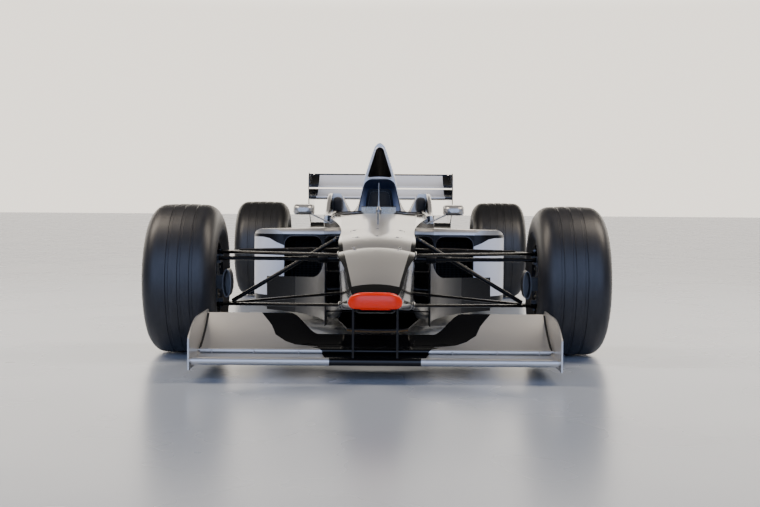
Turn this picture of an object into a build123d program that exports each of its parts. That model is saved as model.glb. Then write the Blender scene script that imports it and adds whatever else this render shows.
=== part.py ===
"""Open wheel racing car, full size, standing on its four wheels.

Millimetres. The origin is on the ground, at the centre of the car's length and width.
X runs across the car, with the driver's left at +X. Y runs from the nose to the tail, and Z is up.
Sizes that start with y or z are places along those axes, and half sizes are measured from the centre plane.
"""

import os
from math import cos, radians, sin

from build123d import *

os.makedirs("parts", exist_ok=True)

LEFT, RIGHT = 1, -1
SIDES = ((LEFT, "left"), (RIGHT, "right"))

# Overall layout
wheelbase = 3100.0
nose_overhang = 980.0
tail_overhang = 480.0
overall_width = 2000.0
overall_length = nose_overhang + wheelbase + tail_overhang
y_nose = -overall_length / 2
y_tail = overall_length / 2
y_front_axle = y_nose + nose_overhang
y_rear_axle = y_tail - tail_overhang

seat_gap = 0.4  # running gap between a moving piece and what carries it
skin = 6.0  # carbon panel thickness
plate = 6.0  # endplate thickness

# Tyres and wheels
tyre_radius = 330.0
front_tyre_width = 314.0
rear_tyre_width = 360.0
tyre_wall = 12.0
rim_flange_radius = 178.0
rim_seat_radius = 167.0
rim_bore_radius = 154.0
rim_flange = 6.0
bead_width = 18.0
front_rim_half = 136.0
rear_rim_half = 160.0
spoke_count = 6
spoke_width = 34.0
spoke_thickness = 24.0
spoke_offset = 72.0
hub_radius = 56.0
wheel_nut_radius = 30.0
wheel_nut_length = 26.0
axle_radius = 30.0
disc_radius = 139.0
disc_thickness = 28.0
disc_bell_radius = 78.0
x_front_wheel = (overall_width - front_tyre_width) / 2
x_rear_wheel = (overall_width - rear_tyre_width) / 2

# Steering
x_kingpin = 700.0
steering_arm = 88.0
steering_lock = 14.0  # degrees each way
z_upper_arm = 448.0
z_lower_arm = 216.0
z_track_rod = 425.0
rack_radius = 12.0
pin_radius = 6.0
eye_radius = 15.0
eye_height = 20.0
# the rod's eye is wider than its pin, by half the depth of the arc that the steering arm's pin swings
pin_arc = steering_arm * (1 - cos(radians(steering_lock)))
track_rod_slack = pin_arc / 2 + seat_gap

# Front upright, brake duct and caliper
upright_inner = x_kingpin + 8.0
upright_thickness = 34.0
upright_half = 30.0
caliper_radius = 146.0
caliper_inner_radius = 92.0
caliper_gap = 5.0
caliper_cheek = 18.0
duct_width = 38.0
duct_height = 122.0
duct_wall = 4.0
duct_offset = 48.0  # from the kingpin inwards to the duct's centre
z_duct = 318.0

# Aerodynamic arms of the suspension
arm_chord = 40.0
arm_thickness = 14.0
pushrod_chord = 32.0
pushrod_thickness = 19.0
track_rod_chord = 36.0
track_rod_thickness = 17.0

# Chassis
y_bulkhead = y_front_axle - 340.0
y_dash = y_front_axle + 880.0
y_hoop = y_front_axle + 1550.0
y_tub_end = y_hoop + 470.0
tub_half = 300.0
z_plank = 40.0
plank_thickness = 10.0
z_reference = z_plank + plank_thickness
step_height = 50.0
z_floor_top = z_reference + step_height + skin
z_tub_base = z_reference + skin

# Engine and gearbox
engine_length = 590.0
engine_half = 225.0
z_engine_top = 470.0
y_engine_end = y_tub_end + engine_length
gearbox_front_half = 190.0
gearbox_rear_half = 105.0
y_gearbox_end = y_rear_axle + 180.0
z_gearbox_base = 150.0

# Sidepods
y_pod = y_front_axle + 1200.0
pod_half = 700.0
pod_length = 1520.0
inlet_width = 206.0
z_inlet_base = 190.0
z_inlet_top = 480.0
pod_inner = tub_half + 0.5

# Front wing
front_wing_span = 1400.0
y_wing = y_front_axle - 871.0
z_wing = 80.0
main_chord = 230.0
flap_overlap = 20.0
flap_slot = 13.0
flap_reach = 238.0
flap_rise = 126.0
flap_centre_reach = 150.0
flap_centre_rise = 50.0
flap_step_outer = 352.0
flap_step_inner = 228.0
pylon_half = 83.0
pylon_thickness = 8.0
wing_edge = 2.5  # thickness of every wing's trailing edge

# Rear wing
rear_wing_span = 1000.0
z_rear_wing_top = 862.0
y_rear_endplate = y_rear_axle - 150.0


def save(builder, name):
    """Label a finished piece and write it as its own STEP file."""
    builder.part.label = name
    export_step(builder.part, f"parts/{name}.step")


def side_plane(x):
    """Plane at x whose own axes are Y, aft, and Z, up."""
    return Plane.YZ.offset(x)


def cross_plane(y):
    """Plane at y whose own axes are X, across, and Z, up."""
    return Plane.XZ.offset(-y)


def bar(start, end, chord, thickness):
    """Add a straight strut of flattened oval section, its long axis fore and aft, to the current part."""
    run = Vector(*end) - Vector(*start)
    along = run.normalized()
    aft = Vector(0, 1, 0)
    across = (aft - along * aft.dot(along)).normalized()
    with BuildSketch(Plane(origin=start, x_dir=across, z_dir=along)) as section:
        Ellipse(chord / 2, thickness / 2)
    extrude(section.sketch, amount=run.length)


def rod(start, end, radius):
    """Add a straight round bar to the current part."""
    run = Vector(*end) - Vector(*start)
    with BuildSketch(Plane(origin=start, z_dir=run.normalized())) as section:
        Circle(radius)
    extrude(section.sketch, amount=run.length)


def upright_pin(x, y, z_low, z_high, radius):
    """Add an upright round post to the current part."""
    with BuildSketch(Plane.XY.offset(z_low)) as section:
        with Locations((x, y)):
            Circle(radius)
    extrude(section.sketch, amount=z_high - z_low)


def block(x, y, z, mode=Mode.ADD):
    """Add a plain block, given as (low, high) pairs, to the current part or cut it away."""
    with BuildSketch(Plane.XY.offset(z[0])) as section:
        with Locations(((x[0] + x[1]) / 2, (y[0] + y[1]) / 2)):
            Rectangle(abs(x[1] - x[0]), y[1] - y[0])
    extrude(section.sketch, amount=z[1] - z[0], mode=mode)


def wing_section(x, leading, trailing, belly, sag, nose):
    """Sketch an upturned wing's section at x: both faces hang below the chord, the under face by more."""
    lead, trail = Vector(*leading), Vector(*trailing)
    middle = (lead + trail) / 2
    along = (trail - lead).normalized()
    down = along.rotate(Axis.Z, -90)
    top_start, base_start = lead + along * nose - down * nose, lead + along * nose + down * nose
    edge = trail + down * wing_edge
    with BuildSketch(side_plane(x)) as section:
        with BuildLine():
            ThreePointArc(base_start, lead, top_start)
            ThreePointArc(top_start, middle + down * sag, trail)
            Line(trail, edge)
            ThreePointArc(edge, middle + down * belly, base_start)
        make_face()
    return section.sketch


# Chassis tub, with the cockpit and the footwell cut out of it.
# columns: place along the car, half width at the shoulder, half width at the base, base z, shoulder z,
# crown z
TUB_STATIONS = (
    (y_bulkhead, 156.0, 148.0, 240.0, 466.0, 486.0),
    (y_front_axle, 166.0, 158.0, 234.0, 521.0, 540.0),
    (y_front_axle + 400.0, 180.0, 174.0, 190.0, 552.0, 574.0),
    (y_front_axle + 760.0, 234.0, 230.0, 84.0, 582.0, 606.0),
    (y_front_axle + 1080.0, 288.0, 286.0, z_tub_base, 596.0, 618.0),
    (y_hoop, tub_half, tub_half, z_tub_base, 596.0, 612.0),
    (y_tub_end, tub_half - 6.0, tub_half - 6.0, z_tub_base, 560.0, 574.0),
)
tub_shoulder_fillet = 28.0
tub_base_fillet = 20.0
cockpit_half = 212.0
cockpit_front_half = 170.0
z_cockpit_floor = 130.0
y_cockpit_end = y_hoop - 20.0
footwell_half = 125.0
footwell_length = 620.0
z_footwell_top = 420.0
column_radius = 14.0
z_steering_wheel = 505.0


def tub_section(y, half_shoulder, half_base, z_base, z_shoulder, z_crown, shoulder_fillet):
    """Sketch the tub or nose across the car: an arched top, near upright sides and a flat base."""
    with BuildSketch(cross_plane(y)) as section:
        with BuildLine():
            ThreePointArc((-half_shoulder, z_shoulder), (0, z_crown), (half_shoulder, z_shoulder))
            Polyline(
                (half_shoulder, z_shoulder),
                (half_base, z_base),
                (-half_base, z_base),
                (-half_shoulder, z_shoulder),
            )
        make_face()
        corners = vertices().sort_by(Axis.Y)
        fillet(corners[:2], tub_base_fillet)
        fillet(corners[2:], shoulder_fillet)
    return section.sketch


with BuildPart() as tub_outer:
    loft([tub_section(*station, tub_shoulder_fillet) for station in TUB_STATIONS])
    with BuildSketch(Plane.XY.offset(z_tub_base)):
        with Locations((0, (y_bulkhead + y_tub_end) / 2)):
            Rectangle(2 * tub_half, y_tub_end - y_bulkhead)
    extrude(amount=1000.0, mode=Mode.INTERSECT)

with BuildPart() as monocoque:
    add(tub_outer.part)
    with BuildSketch(Plane.XY.offset(z_cockpit_floor)):
        with BuildLine():
            Polyline(
                (-cockpit_front_half, y_dash),
                (cockpit_front_half, y_dash),
                (cockpit_half, y_dash + 260.0),
                (cockpit_half, y_cockpit_end - 120.0),
                (cockpit_front_half, y_cockpit_end),
                (-cockpit_front_half, y_cockpit_end),
                (-cockpit_half, y_cockpit_end - 120.0),
                (-cockpit_half, y_dash + 260.0),
                (-cockpit_front_half, y_dash),
            )
        make_face()
        fillet(vertices(), 40.0)
    extrude(amount=1000.0, mode=Mode.SUBTRACT)
    with BuildSketch(cross_plane(y_dash + 60.0)):
        with Locations((0, (z_cockpit_floor + z_footwell_top) / 2 + 60.0)):
            RectangleRounded(2 * footwell_half, z_footwell_top - z_cockpit_floor - 120.0, 40.0)
    extrude(amount=footwell_length, mode=Mode.SUBTRACT)
    with BuildSketch(cross_plane(y_dash + 60.0)):
        with Locations((0, z_steering_wheel)):
            Circle(column_radius + seat_gap)
    extrude(amount=200.0, mode=Mode.SUBTRACT)
    with BuildSketch(side_plane(-tub_half)):
        with Locations((y_front_axle - steering_arm, z_track_rod)):
            Circle(rack_radius + seat_gap)
    extrude(amount=2 * tub_half, mode=Mode.SUBTRACT)
save(monocoque, "monocoque")

# Front wing: one main plane, a flap that drops in an S towards the nose, and two endplates
y_main_trailing = y_wing + main_chord
y_flap = y_main_trailing - flap_overlap
z_flap = z_wing + flap_slot
inner_half = front_wing_span / 2 - plate

with BuildPart() as front_wing_main:
    main_section = wing_section(0, (y_wing, z_wing), (y_main_trailing, z_wing + 4.0), 24.0, 3.0, 9.0)
    extrude(main_section, amount=inner_half, both=True)
save(front_wing_main, "front_wing_main")


def flap_section(x, share):
    """Sketch the flap at x, where share runs from 0 at the low centre to 1 at the tall outer part."""
    reach = flap_centre_reach + share * (flap_reach - flap_centre_reach)
    rise = flap_centre_rise + share * (flap_rise - flap_centre_rise)
    return wing_section(x, (y_flap, z_flap), (y_flap + reach, z_flap + rise), 24.0, 12.0, 4.0)


flap_steps = 6
flap_step = flap_step_outer - flap_step_inner
with BuildPart() as front_wing_flap:
    extrude(flap_section(-flap_step_inner, 0.0), amount=2 * flap_step_inner)
    for side, _ in SIDES:
        sections = []
        for step in range(flap_steps + 1):
            share = step / flap_steps
            smooth = share * share * (3.0 - 2.0 * share)
            sections.append(flap_section(side * (flap_step_inner + share * flap_step), smooth))
        loft(sections)
        extrude(flap_section(side * flap_step_outer, 1.0), amount=side * (inner_half - flap_step_outer))
save(front_wing_flap, "front_wing_flap")

y_endplate_end = y_flap + flap_reach + 45.0
z_endplate_top = z_flap + flap_rise + 9.0
z_endplate_base = 46.0
with BuildPart() as front_wing_endplates:
    for side, _ in SIDES:
        with BuildSketch(side_plane(side * (inner_half + plate / 2))):
            with BuildLine():
                front = Line((y_wing - 10.0, z_endplate_base), (y_wing - 10.0, z_wing + 84.0))
                nose_curve = ThreePointArc(
                    front @ 1, (y_wing + 66.0, z_endplate_top - 28.0), (y_wing + 240.0, z_endplate_top)
                )
                Polyline(
                    nose_curve @ 1,
                    (y_endplate_end, z_endplate_top),
                    (y_endplate_end, z_endplate_base + 16.0),
                    (y_endplate_end - 60.0, z_endplate_base),
                    front @ 0,
                )
            make_face()
        extrude(amount=plate / 2, both=True)
save(front_wing_endplates, "front_wing_endplates")

# Nose cone, with the two pylons that hold the front wing
# columns: place along the car, half width at the shoulder, half width at the base, base z, shoulder z,
# crown z
NOSE_STATIONS = (
    (y_nose + 22.0, 82.0, 60.0, 284.0, 336.0, 346.0),
    (y_nose + 90.0, 97.0, 70.0, 266.0, 356.0, 368.0),
    (y_nose + 280.0, 116.0, 96.0, 256.0, 400.0, 416.0),
    (y_nose + 480.0, 146.0, 132.0, 248.0, 440.0, 460.0),
)
nose_fillet = 18.0
# columns: place along the car, half width, z of the chine's edge
CHINE_STATIONS = (
    (y_nose + 12.0, 84.0, 306.0),
    (y_nose + 44.0, 102.0, 305.0),
    (y_nose + 300.0, 112.0, 300.0),
)
chine_half = 15.0
chine_taper = 36.0
z_tip = 317.0
with BuildPart() as nose_cone:
    sections = [tub_section(*station, nose_fillet) for station in NOSE_STATIONS]
    loft([*sections, tub_section(*TUB_STATIONS[0], tub_shoulder_fillet)])
    with BuildSketch(cross_plane(y_nose + 22.0)):
        with Locations((0, z_tip)):
            SlotOverall(156.0, 50.0)
    extrude(amount=22.0, taper=28.0)
    for y, half, z in CHINE_STATIONS:
        with BuildSketch(cross_plane(y)):
            with BuildLine():
                Polyline(
                    (half, z), (half - chine_taper, z + chine_half), (chine_taper - half, z + chine_half),
                    (-half, z), (chine_taper - half, z - chine_half), (half - chine_taper, z - chine_half),
                    (half, z),
                )
            make_face()
    loft(ruled=True)
    for side, _ in SIDES:
        with BuildSketch(side_plane(side * pylon_half)):
            with BuildLine():
                Polyline(
                    (y_wing + 14.0, z_wing - 10.0),
                    (y_main_trailing - 36.0, z_wing - 10.0),
                    (y_main_trailing - 10.0, 300.0),
                    (y_wing - 10.0, 300.0),
                    (y_wing + 14.0, z_wing - 10.0),
                )
            make_face()
        extrude(amount=pylon_thickness / 2, both=True)
    add(front_wing_main.part, mode=Mode.SUBTRACT)
    nose_solid = solids().sort_by(SortBy.VOLUME)[-1]
    add(nose_solid, mode=Mode.INTERSECT)
save(nose_cone, "nose_cone")

# Roll structure, air intake and engine cover
# columns: place along the car, base half width, base z, waist half width, waist z, flank bulge,
# ridge radius, ridge z
COVER_STATIONS = (
    (y_hoop, 160.0, 560.0, 119.0, 700.0, 11.5, 44.0, 1004.0),
    (y_hoop + 360.0, 250.0, 540.0, 110.0, 700.0, 12.0, 36.0, 986.0),
    (y_hoop + 860.0, tub_half - 2.0, 500.0, 96.0, 640.0, 10.0, 22.0, 880.0),
    (y_hoop + 1320.0, 240.0, 440.0, 80.0, 540.0, 4.0, 14.0, 700.0),
    (y_rear_axle - 10.0, 130.0, 400.0, 62.0, 450.0, 0.5, 12.0, 520.0),
)
ridge_lean = 24.0  # degrees from upright, where the flank meets the ridge
cover_wall = 8.0
intake_half = 74.0
intake_crown_half = 24.0
z_intake_base = 805.0
intake_sill_rise = 7.0
z_intake_crown = 964.0
z_intake_top = 981.0
intake_corner = 12.0
hoop_face = 70.0
z_recess_sill = 580.0
# columns: place along the car, half width at the sill, half width at the top, top z, corner radius
RECESS_STATIONS = (
    (y_hoop - 1.0, 132.0, 80.0, 796.0, 50.0),
    (y_hoop + 62.0, 90.0, 66.0, 744.0, 28.0),
)


def cover_section(y, base_half, z_base, waist_half, z_waist, bulge, ridge_radius, z_ridge, inset=0.0):
    """Sketch half of the engine cover across the car: a flared foot below a tall, narrow spine."""
    base_half, waist_half = base_half - inset, waist_half - inset
    ridge_radius, z_ridge = ridge_radius - inset / 2, z_ridge - 2 * inset
    ridge_half = ridge_radius * cos(radians(ridge_lean))
    z_ridge_side = z_ridge - ridge_radius * (1 - sin(radians(ridge_lean)))
    z_foot = z_base - inset
    with BuildSketch(cross_plane(y)) as section:
        with BuildLine():
            foot = Line((0, z_foot), (base_half, z_foot))
            flare = ThreePointArc(
                foot @ 1,
                (waist_half + 0.4 * (base_half - waist_half), z_base + 0.38 * (z_waist - z_base)),
                (waist_half, z_waist),
            )
            flank = ThreePointArc(
                flare @ 1,
                ((waist_half + ridge_half) / 2 + bulge, (z_waist + z_ridge_side) / 2),
                (ridge_half, z_ridge_side),
            )
            ridge = RadiusArc(flank @ 1, (0, z_ridge), -ridge_radius)
            Line(ridge @ 1, foot @ 0)
        make_face()
    return section.sketch


with BuildPart() as cover_outer:
    loft([cover_section(*station) for station in COVER_STATIONS])
    mirror(about=Plane.YZ)

with BuildPart() as cover_inner:
    sections = []
    for index, (y, *rest) in enumerate(COVER_STATIONS):
        shift = hoop_face if index == 0 else 1.0 if index == len(COVER_STATIONS) - 1 else 0.0
        sections.append(cover_section(y + shift, *rest, inset=cover_wall))
    loft(sections)
    mirror(about=Plane.YZ)

with BuildPart() as engine_cover:
    add(cover_outer.part)
    add(cover_inner.part, mode=Mode.SUBTRACT)
    with BuildSketch(cross_plane(y_hoop - 1.0)):
        with BuildLine():
            sill = ThreePointArc(
                (-intake_half, z_intake_base),
                (0, z_intake_base + intake_sill_rise),
                (intake_half, z_intake_base),
            )
            jamb = Line(sill @ 1, (intake_crown_half, z_intake_crown))
            arch = ThreePointArc(jamb @ 1, (0, z_intake_top), (-intake_crown_half, z_intake_crown))
            Line(arch @ 1, sill @ 0)
        make_face()
        fillet(vertices().sort_by(Axis.Y)[:2], intake_corner)
    extrude(amount=-(hoop_face + cover_wall), mode=Mode.SUBTRACT)
    for y, sill_half, top_half, z_top, corner in RECESS_STATIONS:
        with BuildSketch(cross_plane(y)):
            with BuildLine():
                Polyline(
                    (-sill_half, z_recess_sill), (sill_half, z_recess_sill), (top_half, z_top),
                    (-top_half, z_top), (-sill_half, z_recess_sill),
                )
            make_face()
            fillet(vertices().sort_by(Axis.Y)[2:], corner)
    loft(mode=Mode.SUBTRACT)
    add(tub_outer.part, mode=Mode.SUBTRACT)
save(engine_cover, "engine_cover")

# Raised cockpit sides: a low ramp along each side of the opening, a thin fin outside the head pads, and
# behind the opening a broad shoulder that falls into a valley beside the engine cover
# columns: place along the car, crest z, half widths at the outer foot, outer top, inner top and inner foot
RAMP_STATIONS = (
    (y_hoop - 640.0, 600.0, 286.0, 280.0, 250.0, 236.0),
    (y_hoop - 400.0, 622.0, 296.0, 286.0, 238.0, 222.0),
    (y_hoop - 20.0, 634.0, 299.0, 288.0, 230.0, 216.0),
)
FIN_STATIONS = (
    (y_hoop - 450.0, 616.0, 295.0, 285.0, 264.0, 262.0),
    (y_hoop - 240.0, 690.0, 299.0, 287.0, 264.0, 262.0),
    (y_hoop - 100.0, 713.0, 300.0, 287.0, 264.0, 262.0),
    (y_hoop - 10.0, 716.0, 300.0, 287.0, 264.0, 262.0),
)
SHOULDER_STATIONS = (
    (y_hoop - 16.0, 716.0, 300.0, 287.0, 220.0, 158.0),
    (y_hoop + 120.0, 706.0, 300.0, 284.0, 216.0, 140.0),
    (y_hoop + 280.0, 662.0, 300.0, 278.0, 214.0, 150.0),
    (y_hoop + 440.0, 600.0, 298.0, 270.0, 222.0, 170.0),
)
z_ridge_foot = 560.0
ridge_fillet = 9.0


def ridge_section(side, y, z_crest, outer_foot, outer_top, inner_top, inner_foot):
    """Sketch one cockpit side across the car, with a rounded crest."""
    with BuildSketch(cross_plane(y)) as section:
        with BuildLine():
            Polyline(
                (side * outer_foot, z_ridge_foot), (side * outer_top, z_crest), (side * inner_top, z_crest),
                (side * inner_foot, z_ridge_foot), (side * outer_foot, z_ridge_foot),
            )
        make_face()
        fillet(vertices().sort_by(Axis.Y)[2:], ridge_fillet)
    return section.sketch


with BuildPart() as cockpit_sides:
    for side, _ in SIDES:
        for stations in (RAMP_STATIONS, FIN_STATIONS, SHOULDER_STATIONS):
            loft([ridge_section(side, *station) for station in stations])
    add(tub_outer.part, mode=Mode.SUBTRACT)
    add(cover_outer.part, mode=Mode.SUBTRACT)
    with BuildSketch(Plane.XY.offset(z_ridge_foot)):
        with Locations((0, (y_dash + y_cockpit_end) / 2)):
            Rectangle(2 * cockpit_half, y_cockpit_end - y_dash)
    extrude(amount=200.0, mode=Mode.SUBTRACT)
save(cockpit_sides, "cockpit_sides")

# Headrest: a pad on the tub's rear deck inside the hoop's recess, and two beside the driver's head
headrest_half = 77.0
headrest_top_half = 60.0
z_headrest_top = 735.0
headrest_thickness = 42.0
head_pad_inner = 202.0
head_pad_length = 196.0
z_head_pad_top = 704.0
pad_fillet = 12.0
with BuildPart() as headrest:
    with BuildSketch(cross_plane(y_hoop + 61.0)):
        with BuildLine():
            Polyline(
                (-headrest_half, 600.0), (headrest_half, 600.0), (headrest_top_half, z_headrest_top),
                (-headrest_top_half, z_headrest_top), (-headrest_half, 600.0),
            )
        make_face()
        fillet(vertices().sort_by(Axis.Y)[2:], 2 * pad_fillet)
    extrude(amount=headrest_thickness)
    head_pad_outer = FIN_STATIONS[0][5] - seat_gap
    head_pad_x = (head_pad_inner + head_pad_outer) / 2
    for side, _ in SIDES:
        with BuildSketch(Plane.XY.offset(z_ridge_foot)):
            with Locations((side * head_pad_x, y_cockpit_end - head_pad_length / 2)):
                RectangleRounded(head_pad_outer - head_pad_inner, head_pad_length, pad_fillet)
        extrude(amount=z_head_pad_top - z_ridge_foot)
    fillet(faces().filter_by(Axis.Z).sort_by(Axis.Z)[-3:].edges(), pad_fillet / 2)
    add(tub_outer.part, mode=Mode.SUBTRACT)
    add(cockpit_sides.part, mode=Mode.SUBTRACT)
save(headrest, "headrest")

# Windscreen: a low clear strip round the front of the cockpit
screen_radius = 110.0
screen_wall = 3.0
screen_depth = 46.0
z_screen_top = 647.0
with BuildPart() as windscreen:
    with BuildSketch(Plane.XY.offset(590.0)):
        with Locations((0, y_dash - 4.0 - screen_depth + screen_radius)):
            Circle(screen_radius)
            Circle(screen_radius - screen_wall, mode=Mode.SUBTRACT)
        with Locations((0, y_dash - 4.0 + screen_radius)):
            Rectangle(2 * screen_radius + 2.0, 2 * screen_radius, mode=Mode.SUBTRACT)
    extrude(amount=z_screen_top - 590.0)
    add(tub_outer.part, mode=Mode.SUBTRACT)
save(windscreen, "windscreen")

# Seat: a thin moulded bucket that leans back against the rear of the cockpit
seat_half = 160.0
seat_wall = 10.0
with BuildPart() as seat:
    with BuildSketch(side_plane(-seat_half)):
        with BuildLine():
            pan = Line((y_cockpit_end - 470.0, 230.0), (y_cockpit_end - 400.0, z_cockpit_floor + 14.0))
            base = Line(pan @ 1, (y_cockpit_end - 260.0, z_cockpit_floor + 14.0))
            Line(base @ 1, (y_cockpit_end - 40.0, 540.0))
            offset(amount=seat_wall / 2)
        make_face()
    extrude(amount=2 * seat_half)
    for side, _ in SIDES:
        with BuildSketch(side_plane(side * (seat_half - seat_wall))):
            with BuildLine():
                Polyline(
                    (y_cockpit_end - 470.0, 236.0),
                    (y_cockpit_end - 400.0, z_cockpit_floor + 12.0),
                    (y_cockpit_end - 260.0, z_cockpit_floor + 12.0),
                    (y_cockpit_end - 40.0, 540.0),
                    (y_cockpit_end - 150.0, 500.0),
                    (y_cockpit_end - 300.0, 330.0),
                    (y_cockpit_end - 470.0, 236.0),
                )
            make_face()
        extrude(amount=side * seat_wall)
    block(
        (-60.0, 60.0), (y_cockpit_end - 380.0, y_cockpit_end - 280.0),
        (z_cockpit_floor, z_cockpit_floor + 16.0),
    )
save(seat, "seat")

# Steering wheel: a flat-bottomed rim on a column that enters the dash
wheel_half = 132.0
wheel_depth = 92.0
y_steering_wheel = y_dash + 110.0
with BuildPart() as steering_wheel:
    with BuildSketch(cross_plane(y_steering_wheel)):
        with Locations((0, z_steering_wheel)):
            RectangleRounded(2 * wheel_half, 2 * wheel_depth, 60.0)
        for side, _ in SIDES:
            with Locations((side * 78.0, z_steering_wheel + 4.0)):
                RectangleRounded(48.0, 104.0, 22.0, mode=Mode.SUBTRACT)
    extrude(amount=22.0)
    fillet(edges().filter_by(GeomType.CIRCLE), 6.0)
    with BuildSketch(cross_plane(y_steering_wheel)):
        with Locations((0, z_steering_wheel)):
            Circle(column_radius)
    extrude(amount=230.0)
save(steering_wheel, "steering_wheel")

# Aerial with a trumpet foot, and a streamlined air-speed probe on a post, on the tub's top
# columns: z, radius
AERIAL_STATIONS = ((590.0, 12.0), (631.0, 14.0), (648.0, 6.0), (682.0, 3.0), (769.0, 2.0))
y_aerial = y_dash - 66.0
y_probe = y_dash - 550.0
z_probe = 590.0
probe_height = 34.0
with BuildPart() as probes:
    for (z_low, low_radius), (z_high, high_radius) in zip(AERIAL_STATIONS, AERIAL_STATIONS[1:]):
        with BuildSketch(Plane.XY.offset(z_low)):
            with Locations((0, y_aerial)):
                Circle(low_radius)
        with BuildSketch(Plane.XY.offset(z_high)):
            with Locations((0, y_aerial)):
                Circle(high_radius)
        loft()
    rod((0, y_probe, z_probe - 60.0), (0, y_probe, z_probe + 2.0), 3.5)
    with BuildSketch(Plane.XY.offset(z_probe)):
        with Locations((0, y_probe - 16.0)):
            Ellipse(8.0, 34.0)
    extrude(amount=probe_height)
    add(tub_outer.part, mode=Mode.SUBTRACT)
save(probes, "probes")

# Sidepods: a hollow skin over a duct, with a rounded outer front corner
# columns: distance behind the front lip, outer half width, top z at the tub, top z at the outside
POD_STATIONS = (
    (0.0, pod_half - 8.0, 524.0, 514.0),
    (360.0, pod_half, 520.0, 507.0),
    (800.0, pod_half - 50.0, 490.0, 464.0),
    (1200.0, pod_half - 190.0, 448.0, 408.0),
    (pod_length, tub_half + 46.0, 410.0, 366.0),
)
pod_corner = 46.0
z_lip = z_inlet_top + 8.0
lip_reach = 52.0
lip_rise = 40.0


def pod_section(side, y, outer, z_inner_top, z_outer_top, inset=0.0):
    """Sketch one sidepod across the car, from the tub's side outwards."""
    with BuildSketch(cross_plane(y)) as section:
        with BuildLine():
            Polyline(
                (side * (pod_inner + inset), z_floor_top + inset),
                (side * (outer - inset), z_floor_top + inset),
                (side * (outer - inset), z_outer_top - inset),
                (side * (pod_inner + inset), z_inner_top - inset),
                (side * (pod_inner + inset), z_floor_top + inset),
            )
        make_face()
        outside = vertices().sort_by(Axis.X)[2:] if side == LEFT else vertices().sort_by(Axis.X)[:2]
        fillet(outside, min(pod_corner, (outer - pod_inner) * 0.4) - inset)
    return section.sketch


for side, side_name in SIDES:
    with BuildPart() as sidepod:
        loft([pod_section(side, y_pod + distance, *rest) for distance, *rest in POD_STATIONS])
        with BuildSketch(Plane.XY):
            with BuildLine():
                lip = side * (pod_inner + inlet_width + 14.0)
                outer = side * pod_half
                sweep_back = ThreePointArc(
                    (lip, y_pod), (side * (pod_half - 62.0), y_pod + 66.0), (outer + side, y_pod + 250.0)
                )
                Polyline(
                    sweep_back @ 1, (outer + 20 * side, y_pod + 250.0), (outer + 20 * side, y_pod - 10.0),
                    (lip, y_pod - 10.0), sweep_back @ 0,
                )
            make_face()
        extrude(amount=700.0, mode=Mode.SUBTRACT)
        with BuildSketch(side_plane(side * tub_half)):
            with BuildLine():
                lip_round = ThreePointArc(
                    (y_pod, z_lip), (y_pod + 0.25 * lip_reach, z_lip + 0.75 * lip_rise),
                    (y_pod + lip_reach, z_lip + lip_rise),
                )
                Polyline(
                    lip_round @ 1, (y_pod + lip_reach, z_lip + 2 * lip_rise),
                    (y_pod - 1.0, z_lip + 2 * lip_rise), (y_pod - 1.0, z_lip), lip_round @ 0,
                )
            make_face()
        extrude(amount=side * pod_half, mode=Mode.SUBTRACT)
        sections = []
        for distance, *rest in POD_STATIONS[1:]:
            shift = 1.0 if distance == pod_length else 0.0
            sections.append(pod_section(side, y_pod + distance + shift, *rest, inset=skin))
        loft(sections, mode=Mode.SUBTRACT)
        with BuildSketch(cross_plane(y_pod - 1.0)):
            with Locations((side * (pod_inner + skin + inlet_width / 2), (z_inlet_base + z_inlet_top) / 2)):
                RectangleRounded(inlet_width, z_inlet_top - z_inlet_base, 44.0)
        extrude(amount=-370.0, mode=Mode.SUBTRACT)
    save(sidepod, f"sidepod_{side_name}")

radiator_depth = 60.0
with BuildPart() as radiators:
    for side, _ in SIDES:
        near, far = sorted((side * (pod_inner + skin + 8.0), side * (pod_half - 60.0)))
        block((near, far), (y_pod + 430.0, y_pod + 430.0 + radiator_depth), (z_floor_top + skin, 440.0))
save(radiators, "radiators")

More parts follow.
